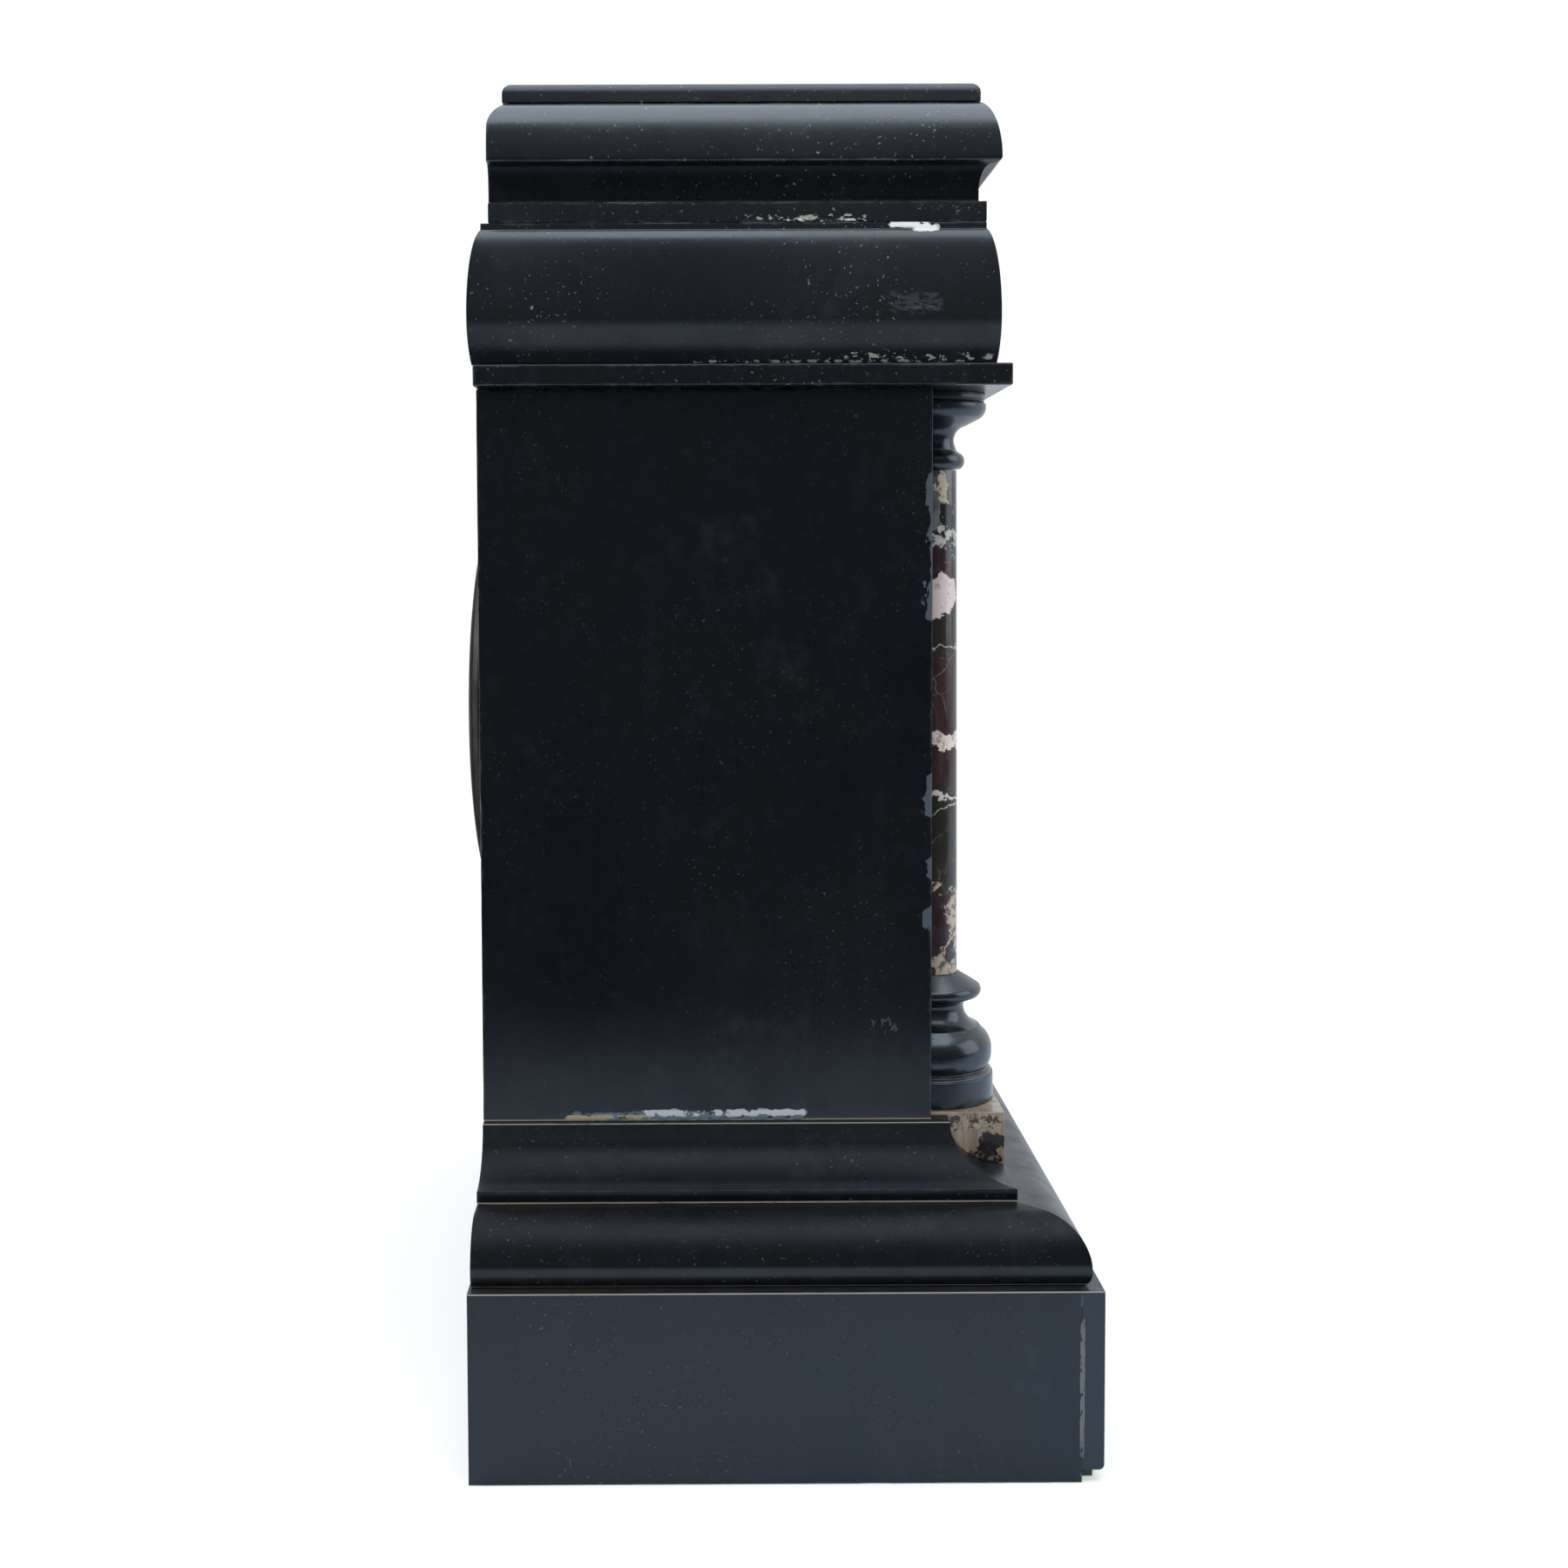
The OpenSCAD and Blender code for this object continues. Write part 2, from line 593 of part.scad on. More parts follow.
// Barrel arbor: a hooked core inside the drum, a ratchet wheel in front and the square for the key
module barrel_arbor() {
    translate([0, 0, -brass_t]) cylinder(r = barrel_back_r, h = brass_t + 0.5);
    translate([0, 0, end_shake]) cylinder(r = barrel_arbor_r, h = plate_gap - 2 * end_shake);
    translate([0, 0, drum_z + 1.6]) cylinder(r = 5, h = drum_h - 3.2);
    translate([0, 0, drum_z + drum_h / 2 - 1]) cube([6.2, 1.6, 2]);
    translate([0, 0, front_in - 1]) cylinder(r = barrel_front_r, h = brass_t + 1.5);
    translate([0, 0, front_out + end_shake]) linear_extrude(1.4) ratchet(24, 5.6);
    translate([-key_w / 2, -key_w / 2, front_out + end_shake]) cube([key_w, key_w, 11.2]);
}
module ratchet(n, r) {
    polygon([for (i = [0:n - 1]) for (k = [0, 1]) polar(k == 0 ? r : r - 0.9, (i + k * 0.12) * 360 / n)]);
}
module going_barrel() { color(brass) at(going_at) barrel_drum(barrel_turn, drum_z + drum_h - 3); }
module strike_barrel() { color(brass) at(strike_at) barrel_drum(strike_turn, drum_z); }
module going_arbor() { color(steel) at(going_at) barrel_arbor(); }
module strike_arbor() { color(steel) at(strike_at) barrel_arbor(); }

cannon_r = 1.7;
post_r = 0.9;
module centre_wheel() {
    color(brass) at(centre_at) {
        arbor(r = 1.4);
        translate([0, 0, front_in - 1]) cylinder(r = post_r, h = brass_t + 10);
        translate([0, 0, drum_z + drum_h - 5]) pinion(barrel_pinion, barrel_m, 7);
        translate([0, 0, 22]) wheel(train_teeth, centre_m, 1.4);
    }
}
module third_wheel() {
    color(brass) at(third_at) {
        arbor();
        rotate(third_turn) {
            translate([0, 0, 21]) pinion(train_pinion, centre_m, 3.4);
            translate([0, 0, 26]) wheel(train_teeth, third_m, 1.2);
        }
    }
}
// Escape wheel: thin raked teeth on a crossed rim
module escape_wheel() {
    root_r = escape_r - 2.2;
    color(brass) at(escape_at) {
        arbor();
        rotate(escape_turn) {
            translate([0, 0, 25]) pinion(train_pinion, third_m, 3.2);
            translate([0, 0, 8]) linear_extrude(1.4) difference() {
                polygon([for (i = [0:escape_teeth - 1])
                    for (k = [[0, escape_r], [0.1, escape_r], [0.42, root_r], [0.86, root_r]])
                        polar(k[1], (i + k[0]) * 360 / escape_teeth)]);
                difference() {
                    circle(escape_r - 3.6);
                    circle(2.4);
                    for (i = [0:3]) rotate(i * 90) translate([0, -0.5]) square([escape_r, 1]);
                }
            }
        }
    }
}
// Anchor with two pallets that clear the wheel's tips, its arbor and the crutch behind the back plate
pallet_gap = 1;
crutch_l = 26;
module pallets() {
    drop = pallet_at[1] - escape_at[1];
    color(steel) at(pallet_at) {
        translate([0, 0, end_shake]) cylinder(r = stout_r, h = plate_gap - 2 * end_shake);
        translate([0, 0, front_in - 1]) cylinder(r = pivot_r, h = brass_t + 1);
        translate([0, 0, -brass_t - 5]) cylinder(r = stout_r, h = brass_t + 6);
        translate([0, 0, 7.9]) linear_extrude(1.6) difference() {
            union() {
                circle(2.6);
                for (s = [-1, 1]) {
                    polygon([[0, 1.8], [s * 8.4, -2.6], [s * 10.4, -8.4], [s * 9, -8.8], [s * 6.8, -4.4],
                        [0, -1.4]]);
                }
            }
            translate([0, -drop]) circle(escape_r + pallet_gap);
        }
        translate([-0.7, -crutch_l, -brass_t - 4.6]) cube([1.4, crutch_l, 1.2]);
        for (s = [-1, 1]) translate([s * 1.5 - 0.4, -crutch_l, -brass_t - 10]) cube([0.8, 2.4, 5.5]);
        translate([-1.9, -crutch_l, -brass_t - 4.6]) cube([3.8, 2.4, 1.2]);
    }
}
module strike_wheel() {
    color(brass) at(strike2_at) {
        arbor();
        translate([0, 0, drum_z - 1.5]) pinion(barrel_pinion, barrel_m, 6);
        translate([0, 0, 25.5]) wheel(strike_teeth, strike_m, 1.4);
    }
}
// Pin wheel: ten pins that lift the hammer's tail
module pin_wheel() {
    color(brass) at(pin_at) {
        arbor();
        rotate(pin_turn) {
            translate([0, 0, 24.6]) pinion(train_pinion, strike_m, 3.2);
            translate([0, 0, 14]) wheel(pin_teeth, pin_m, 1.4);
            for (i = [0:9]) rotate(i * 36) translate([7.9, 0, 11.4]) cylinder(r = 0.45, h = 3);
        }
    }
}
module locking_wheel() {
    color(brass) at(lock_at) {
        arbor();
        rotate(lock_turn) {
            translate([0, 0, 13]) pinion(train_pinion, pin_m, 3.2);
            translate([0, 0, 18]) wheel(lock_teeth, lock_m, 1.2, 4);
        }
    }
}
module fly() {
    color(brass) at(fly_at) {
        arbor();
        rotate(fly_turn) {
            translate([0, 0, 17]) pinion(train_pinion, lock_m, 3);
            translate([-5, -0.35, 21]) cube([10, 0.7, 7]);
            translate([0, 0, 21]) cylinder(r = 1.5, h = 7);
        }
    }
}

// Motion work in front of the front plate
stud_r = 0.8;
module cannon_pinion() {
    color(brass) at(centre_at) translate([0, 0, front_out + 0.5]) difference() {
        union() {
            pinion(cannon_teeth, motion_m, 2.4);
            cylinder(r = cannon_r, h = hand_z + 2.9 - front_out);
        }
        translate([0, 0, -1]) cylinder(r = post_r + run_fit, h = 12);
    }
}
module minute_wheel() {
    color(brass) at(minute_at, minute_turn) difference() {
        union() {
            translate([0, 0, front_out + 0.9]) wheel(minute_teeth, motion_m, 1.4, 4);
            translate([0, 0, front_out + 2.3]) pinion(minute_pinion, motion_m * hour_m_k, 2.9);
        }
        translate([0, 0, front_out]) cylinder(r = stud_r + run_fit, h = 8);
    }
}
// The second pair shares the first pair's centre distance
hour_m_k = (cannon_teeth + minute_teeth) / (minute_pinion + hour_teeth);
module hour_wheel() {
    color(brass) at(centre_at, hour_turn) difference() {
        union() {
            translate([0, 0, front_out + 3.7]) wheel(hour_teeth, motion_m * hour_m_k, 1.3, 4);
            translate([0, 0, front_out + 3.7]) cylinder(r = 2.9, h = hand_z + 0.9 - front_out - 3.7);
        }
        translate([0, 0, front_out + 3]) cylinder(r = cannon_r + run_fit, h = 15);
    }
}
// Hands: pierced spade pattern. Both point at twelve at rest
module hand_shape(l, eye_r, boss_r) {
    eye = l * 0.62;
    difference() {
        union() {
            circle(boss_r);
            translate([-0.7, 0]) square([1.4, eye]);
            translate([0, eye]) circle(eye_r);
            polygon([[-eye_r * 0.8, eye + eye_r * 0.4], [eye_r * 0.8, eye + eye_r * 0.4], [0.3, l],
                [-0.3, l]]);
            polygon([[-0.9, 0], [-1.3, -l * 0.18], [1.3, -l * 0.18], [0.9, 0]]);
        }
        translate([0, eye]) circle(eye_r * 0.5);
    }
}
hand_z = front_out + 12.4;
module hour_hand() {
    color(steel) at(centre_at) translate([0, 0, hand_z]) linear_extrude(0.9) difference() {
        hand_shape(30, 3.4, 4.2);
        circle(2.9);
    }
}
module minute_hand() {
    color(steel) at(centre_at) translate([0, 0, hand_z + 2.4]) linear_extrude(0.9) difference() {
        hand_shape(44, 2.6, 3);
        circle(cannon_r);
    }
}

// Plates: every arbor has its pivot hole
train_list = [third_at, escape_at, strike2_at, pin_at, lock_at, fly_at];
pillar_at = [for (a = [30, 176, -60, -95]) polar(plate_r - 3, a)];
module bore(p, r) { translate([p[0], p[1], -1]) cylinder(r = r + run_fit, h = brass_t + 2); }
module pivots() {
    for (p = train_list) bore(p, pivot_r);
    bore(hammer_at, hammer_r);
}
module front_plate() {
    color(brass) movement() translate([0, 0, front_in]) difference() {
        union() {
            cylinder(r = plate_r, h = brass_t);
            translate([minute_at[0], minute_at[1], 0]) cylinder(r = stud_r, h = brass_t + 5.5);
        }
        pivots();
        bore(centre_at, post_r);
        bore(pallet_at, pivot_r);
        for (p = [going_at, strike_at]) bore(p, barrel_front_r);
    }
}
module back_plate() {
    color(brass) movement() translate([0, 0, -brass_t]) difference() {
        cylinder(r = plate_r, h = brass_t);
        pivots();
        bore(centre_at, pivot_r);
        bore(pallet_at, stout_r);
        for (p = [going_at, strike_at]) bore(p, barrel_back_r);
    }
}
module plate_pillars() {
    color(brass) movement() for (p = pillar_at) translate([p[0], p[1], 0])
        rotate_extrude() polygon([[0, 0], [2.6, 0], [2.6, 2], [1.8, 3.4], [2.5, plate_gap / 2],
            [1.8, plate_gap - 3.4], [2.6, plate_gap - 2], [2.6, plate_gap], [0, plate_gap]]);
}

// Pendulum cock on the back plate, with the suspension spring hanging from it
pivot_z = dial_z + pallet_at[1];
rod_y = back_plate_y + 8.3;
spring_l = 9;
module suspension() {
    color(brass) {
        block([-9, back_plate_y, pivot_z + 4], [9, back_plate_y + 2.5, pivot_z + 9.5]);
        block([-4, back_plate_y + 2.5, pivot_z + 5], [4, rod_y + 3, pivot_z + 9.5]);
    }
    color(steel) block([-1.6, rod_y - 0.1, pivot_z + 0.6], [1.6, rod_y + 0.1, pivot_z + 5]);
}
module pendulum() {
    bob_z = pivot_z - pendulum_l;
    color(steel) {
        block([-2.2, rod_y - 1.2, pivot_z - spring_l + 0.6], [2.2, rod_y + 1.2, pivot_z - spring_l + 5.6]);
        block([-1.6, rod_y - 0.1, pivot_z - 3.6], [1.6, rod_y + 0.1, pivot_z]);
        translate([0, rod_y, bob_z - bob_r - 8]) cylinder(r = 1, h = pendulum_l + bob_r + 8 - spring_l + 2);
    }
    color(brass) translate([0, rod_y, bob_z]) rotate([90, 0, 0]) rotate_extrude()
        polygon(concat([[0, -5]], arc(bob_r - 8, -1, 8, 4, -90, 0, 6), arc(bob_r - 8, 1, 8, 4, 0, 90, 6),
            [[0, 5]]));
    color(brass) translate([0, rod_y, bob_z - bob_r - 5.5]) cylinder(r = 4, h = 3);
}

// Hammer: an arbor low on the left, its tail among the plates and its head beside the bell's rim
module hammer() {
    color(steel) at(hammer_at, 50) {
        translate([0, 0, end_shake]) cylinder(r = stout_r, h = plate_gap - 2 * end_shake);
        translate([0, 0, front_in - 1]) cylinder(r = hammer_r, h = brass_t + 1);
        translate([0, 0, -brass_t - 18]) cylinder(r = hammer_r, h = brass_t + 19);
        translate([-0.7, 0, -brass_t - 19.5]) cube([1.4, 14, 1.6]);
        translate([-2.2, 12, -brass_t - 26]) cube([4.4, 3.4, 8]);
    }
}
bell_y = back_plate_y + 20;
bell_h = 24;
bell_t = 1.6;
bell_bolt_r = 1.6;
module bell() {
    outer = arc(0, 0, bell_r, bell_h, 4, 90, 16);
    inner = arc(0, 0, bell_r - bell_t, bell_h - 1.8, 90, 4, 16);
    color(brass) about_dial(bell_y) difference() {
        rotate_extrude() polygon(concat([[bell_r + 0.8, 0], [bell_r + 0.2, 1.6]], outer, inner,
            [[bell_r - bell_t, 1.6], [bell_r - bell_t + 0.4, 0]]));
        translate([0, 0, bell_h - 4]) cylinder(r = bell_bolt_r, h = 6);
    }
}
// Bell stand: a bent bar from the back plate, round the bell's rim and up behind its crown
stand_x = bell_r + 3.5;
module bell_stand() {
    end_y = bell_y + bell_h;
    color(steel) {
        block([plate_r - 10, back_plate_y, dial_z - 9], [stand_x + 3, back_plate_y + 2, dial_z - 1]);
        block([stand_x, back_plate_y, dial_z - 9], [stand_x + 3, end_y + 3, dial_z - 1]);
        block([-5, end_y + 0.5, dial_z - 9], [stand_x + 3, end_y + 3, dial_z - 1]);
        block([-5, end_y + 0.5, dial_z - 3], [5, end_y + 3, dial_z + 4]);
        translate([0, end_y - 5, dial_z]) rotate([-90, 0, 0]) cylinder(r = bell_bolt_r, h = 8);
        translate([0, end_y + 3, dial_z]) rotate([-90, 0, 0]) cylinder(r = 3.4, h = 2.4, $fn = 6);
    }
}

// Ring in the back panel, with two ears for the tie rods and the door's hinge knuckles
module rear_ring() {
    color(brass) difference() {
        union() {
            about_dial(back_y) ring(door_r + 1, back_hole_r - 3, ring_flange);
            about_dial(back_y - slab_t - 1) ring(back_hole_r - 0.2, back_hole_r - 3, slab_t + 1 + tiny);
            for (s = [-1, 1]) block([s > 0 ? rod_x - 5 : -back_hole_r + 2, back_y - slab_t - 1, dial_z - 6],
                [s > 0 ? back_hole_r - 2 : -rod_x + 5, back_y - slab_t + 1, dial_z + 6]);
            for (s = [-1, 1])
                hinge_knuckle(door_pin, s > 0 ? knuckle / 2 + hinge_gap : -knuckle * 1.3 - hinge_gap,
                    s > 0 ? knuckle * 1.3 + hinge_gap : -knuckle / 2 - hinge_gap, door_r - 2,
                    back_y + hinge_gap, back_y + ring_flange);
        }
        translate([door_pin[0], door_pin[1], dial_z - 20]) cylinder(r = hinge_pin_r, h = 40);
        for (s = [-1, 1]) translate([s * rod_x, back_y - slab_t - 5, dial_z]) rotate([-90, 0, 0])
            cylinder(r = rod_r + 0.2, h = 10);
    }
}
// Pressed brass dish with a rolled rim
module rear_door() {
    wall_r = door_r - 1.5;
    rim_flange = 2;
    outer = arc(0, 0, wall_r, door_crown_h, 90, 14, 16);
    inner = arc(0, 0, wall_r - door_t, door_crown_h - door_t, 14, 90, 16);
    color(dark_brass) difference() {
        union() {
            translate([0, door_y, dial_z]) rotate([-90, 0, 0]) rotate_extrude()
                polygon(concat([for (p = outer) [p[0], p[1] + door_rim_h]],
                    [[wall_r, door_rim_h], [wall_r, rim_flange], [door_r, rim_flange], [door_r, 0],
                    [wall_r - door_t, 0], [wall_r - door_t, door_rim_h - 0.4]],
                    [for (p = inner) [p[0], p[1] + door_rim_h]]));
            hinge_knuckle(door_pin, -knuckle / 2, knuckle / 2, door_r - 1, door_y + hinge_gap,
                door_y + rim_flange);
        }
        pin_hole(door_pin);
    }
}
module hinge_pins() {
    pin_l = knuckle * 2.6 + 1.6;
    color(brass) for (p = [bezel_pin, door_pin])
        translate([p[0], p[1], dial_z - pin_l / 2]) cylinder(r = hinge_pin_r, h = pin_l);
}
module tie_rods() {
    color(steel) for (s = [-1, 1]) translate([s * rod_x, 0, dial_z]) {
        translate([0, ledge_y - ledge_t, 0]) rotate([-90, 0, 0])
            cylinder(r = rod_r, h = back_y - slab_t + 1 - ledge_y + ledge_t);
        translate([0, back_y - slab_t + 1, 0]) rotate([-90, 0, 0]) difference() {
            cylinder(r = 3.6, h = 3);
            translate([-5, -0.4, 1.8]) cube([10, 0.8, 3]);
        }
    }
}

felt_pad();
base_board();
plinth_front();
plinth_left();
plinth_right();
plinth_back();
ovolo_front();
ovolo_sides();
cavetto_front();
cavetto_sides();
base_back();
side_panel_left();
side_panel_right();
front_panel();
back_panel();
cornice_plate();
frieze_front();
frieze_sides();
frieze_back();
crown_front();
crown_sides();
crown_back();
top_slab();
column_blocks();
column_bases();
column_shafts();
column_capitals();
front_ring();
dial();
bezel();
bezel_glass();
hour_hand();
minute_hand();
cannon_pinion();
minute_wheel();
hour_wheel();
front_plate();
back_plate();
plate_pillars();
going_barrel();
going_arbor();
centre_wheel();
third_wheel();
escape_wheel();
pallets();
suspension();
pendulum();
strike_barrel();
strike_arbor();
strike_wheel();
pin_wheel();
locking_wheel();
fly();
hammer();
bell();
bell_stand();
rear_ring();
rear_door();
hinge_pins();
tie_rods();
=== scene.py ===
"""Looks of a marble mantel clock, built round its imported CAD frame.

Blender works in metres, and the sizes and outlines below are in millimetres. +Z is up and the dial faces -Y.
"""
import json
import math

import bmesh
import bpy
from mathutils import Matrix, Vector, noise


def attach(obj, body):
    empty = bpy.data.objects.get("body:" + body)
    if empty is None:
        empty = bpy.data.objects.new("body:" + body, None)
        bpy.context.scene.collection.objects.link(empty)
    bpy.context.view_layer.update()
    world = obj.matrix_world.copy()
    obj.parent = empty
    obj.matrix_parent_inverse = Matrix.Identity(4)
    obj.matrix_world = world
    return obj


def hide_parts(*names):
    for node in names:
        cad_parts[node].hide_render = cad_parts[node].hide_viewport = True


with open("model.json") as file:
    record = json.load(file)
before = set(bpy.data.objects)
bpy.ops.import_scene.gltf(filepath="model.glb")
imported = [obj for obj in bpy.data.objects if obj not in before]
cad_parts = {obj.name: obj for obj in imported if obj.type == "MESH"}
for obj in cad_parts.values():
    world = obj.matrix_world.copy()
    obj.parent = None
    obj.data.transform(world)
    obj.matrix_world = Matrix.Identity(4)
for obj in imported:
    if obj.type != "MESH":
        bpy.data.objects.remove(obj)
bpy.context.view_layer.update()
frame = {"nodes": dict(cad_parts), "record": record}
MM = 0.001

# Levels and plan lines of the case, in millimetres, as in the CAD source
FELT, PLINTH, OVOLO, BODY, PLATE, FRIEZE, CROWN, CAP = 3.6, 55.5, 74.0, 93.0, 314.0, 320.5, 362.5, 397.9
BACK, FRONT, HALF_W = 90.0, -90.6, 180.0
BODY_X, BODY_FRONT = 139.0, -46.1
PLATE_X, PLATE_Y = 148.3, -68.5
FRIEZE_X, FRIEZE_Y, FRIEZE_BACK = 145.3, -65.5, 91.9
CROWN_BACK, CROWN_END_R, CROWN_COVE = 85.7, 8.5, (6.2, 16.9)
COLUMN_X, COLUMN_Y, BLOCK_TOP, SHAFT, CAPITAL = 114.0, -49.4, 94.0, 133.5, 290.5
DIAL_Z, DIAL_FACE = 210.0, -24.7
WINDING_X, WINDING_DROP = 21.316, 9.94
# Thicknesses of the plinth's slabs, the front one, the side panels and the bars of the frieze and crown
SLAB, FRONT_SLAB, SIDE_PANEL, BAR = 8.0, 6.4, 6.0, 26.0
# Inner lines of the base mouldings, and how far in from the plinth each one starts
BASE_X, BASE_Y, OVOLO_IN, CAVETTO_IN = 131.0, -17.1, 3.0, 21.5
# How far out on the photographed side the marks are whole, and where they end
MARKED_X = (132.0, 128.0)
# Degrees. Outline corners under the first are part of a curve, and mesh edges over the second are sharp
CURVE_TURN, SHARP_EDGE = 24, 32


# Camera, floor and light
def make_camera():
    """The photo's viewpoint, in front of the side that it shows."""
    data = bpy.data.cameras.new("camera")
    cam = bpy.data.objects.new("camera", data)
    bpy.context.scene.collection.objects.link(cam)
    place = Vector((-0.71275, 0.02536, 0.26255))
    pitch, yaw, roll = 0.054, -0.003, -0.004
    ahead = Vector((math.cos(pitch) * math.cos(yaw), math.cos(pitch) * math.sin(yaw), -math.sin(pitch)))
    right = ahead.cross(Vector((0, 0, 1))).normalized()
    up = right.cross(ahead)
    right, up = right * math.cos(roll) + up * math.sin(roll), up * math.cos(roll) - right * math.sin(roll)
    turn = Matrix((right, up, -ahead)).transposed()
    cam.matrix_world = Matrix.Translation(place) @ turn.to_4x4()
    data.sensor_width, data.lens = 36, 44
    data.shift_x, data.shift_y = 0.0536, -0.0757
    data.clip_start, data.clip_end = 0.02, 60
    bpy.context.scene.camera = cam


def area(name, place, target, size, power, colour=(1, 1, 1)):
    data = bpy.data.lights.new(name, "AREA")
    data.shape, data.size, data.size_y = "RECTANGLE", size[0], size[1]
    data.energy, data.color = power, colour
    lamp = bpy.data.objects.new(name, data)
    bpy.context.scene.collection.objects.link(lamp)
    lamp.location = place
    lamp.rotation_mode = "QUATERNION"
    lamp.rotation_quaternion = (Vector(target) - Vector(place)).to_track_quat("-Z", "Y")


class Graph:
    """A short way to write shader nodes."""

    def __init__(self, tree):
        self.tree, self.nodes, self.links = tree, tree.nodes, tree.links
        self.nodes.clear()
        self.here = None

    def put(self, socket, value):
        if isinstance(value, bpy.types.NodeSocket):
            self.links.new(value, socket)
        elif value is not None:
            if socket.type == "RGBA" and len(value) == 3:
                value = (*value, 1)
            socket.default_value = value

    def add(self, kind, inputs=(), out=0, **props):
        node = self.nodes.new(kind)
        for key, value in props.items():
            setattr(node, key, value)
        for key, value in dict(inputs).items():
            self.put(node.inputs[key], value)
        return node.outputs[out]

    def point(self):
        """The point in the piece's own coordinates, in metres."""
        if self.here is None:
            self.here = self.add("ShaderNodeTexCoord", out="Object")
        return self.here

    def scaled(self, scale, offset=(0, 0, 0)):
        return self.add("ShaderNodeMapping", {"Vector": self.point(), "Scale": scale, "Location": offset})

    def noise(self, scale, detail=4, rough=0.55, twist=0, at=None, out="Fac"):
        return self.add("ShaderNodeTexNoise", {"Vector": at or self.point(), "Scale": scale, "Detail": detail,
            "Roughness": rough, "Distortion": twist}, out)

    def cells(self, scale, at=None, feature="F1", out="Distance"):
        return self.add("ShaderNodeTexVoronoi", {"Vector": at or self.point(), "Scale": scale,
            "Randomness": 1}, out, feature=feature)

    def math(self, op, a, b=None, clamp=False):
        node = self.nodes.new("ShaderNodeMath")
        node.operation, node.use_clamp = op, clamp
        for socket, value in zip(node.inputs, (a, b)):
            self.put(socket, value)
        return node.outputs[0]

    def times(self, *values):
        result = values[0]
        for value in values[1:]:
            result = self.math("MULTIPLY", result, value)
        return result

    def span(self, value, low, high, to_low=0.0, to_high=1.0, smooth=True):
        return self.add("ShaderNodeMapRange", {"Value": value, "From Min": low, "From Max": high,
            "To Min": to_low, "To Max": to_high}, interpolation_type="SMOOTHSTEP" if smooth else "LINEAR")

    def mix(self, fac, a, b):
        """Mixes two colours. Sockets 6 and 7 of the node are its colours, and output 2 the mixed one."""
        node = self.nodes.new("ShaderNodeMix")
        node.data_type = "RGBA"
        self.put(node.inputs["Factor"], fac)
        self.put(node.inputs[6], a)
        self.put(node.inputs[7], b)
        return node.outputs[2]

    def part_of(self, vector, which):
        return self.add("ShaderNodeSeparateXYZ", {"Vector": vector}, "XYZ".index(which))

    def axis(self, which):
        return self.part_of(self.point(), which)

    def channel(self, colour, which):
        return self.add("ShaderNodeSeparateColor", {"Color": colour}, "RGB".index(which))

    def bent(self, amount, scale, detail):
        """The point pushed about by noise. The node mixes vectors in sockets 4 and 5 into its output 1."""
        push = self.noise(scale, detail, out="Color")
        return self.add("ShaderNodeMix", {0: amount, 4: self.point(), 5: push}, 1, data_type="VECTOR")

    def mark(self, name):
        """A float that the mesh carries at its vertices."""
        return self.add("ShaderNodeAttribute", out="Fac", attribute_name=name)

    def band(self, value, centre, half, soft):
        """1 within half of centre, fading out over soft."""
        off = self.math("ABSOLUTE", self.math("SUBTRACT", value, centre))
        return self.span(off, half, half + soft, 1, 0)

    def bump(self, height, strength, distance, under=None):
        return self.add("ShaderNodeBump", {"Height": height, "Strength": strength, "Distance": distance,
            "Normal": under})

    def glow(self, colour, strength=1.0):
        return self.add("ShaderNodeEmission", {"Color": colour, "Strength": strength})

    def blend(self, fac, a, b):
        return self.add("ShaderNodeMixShader", {0: fac, 1: a, 2: b})

    def finish(self, shader, output="ShaderNodeOutputMaterial"):
        node = self.nodes.new(output)
        self.links.new(shader, node.inputs["Surface"])


def material(name):
    mat = bpy.data.materials.new(name)
    mat.use_nodes = True
    return mat, Graph(mat.node_tree)


def principled(g, colour, rough, normal=None, **rest):
    inputs = {"Base Color": colour, "Roughness": rough, "Normal": normal}
    inputs.update({key.replace("_", " "): value for key, value in rest.items()})
    g.finish(g.add("ShaderNodeBsdfPrincipled", inputs))


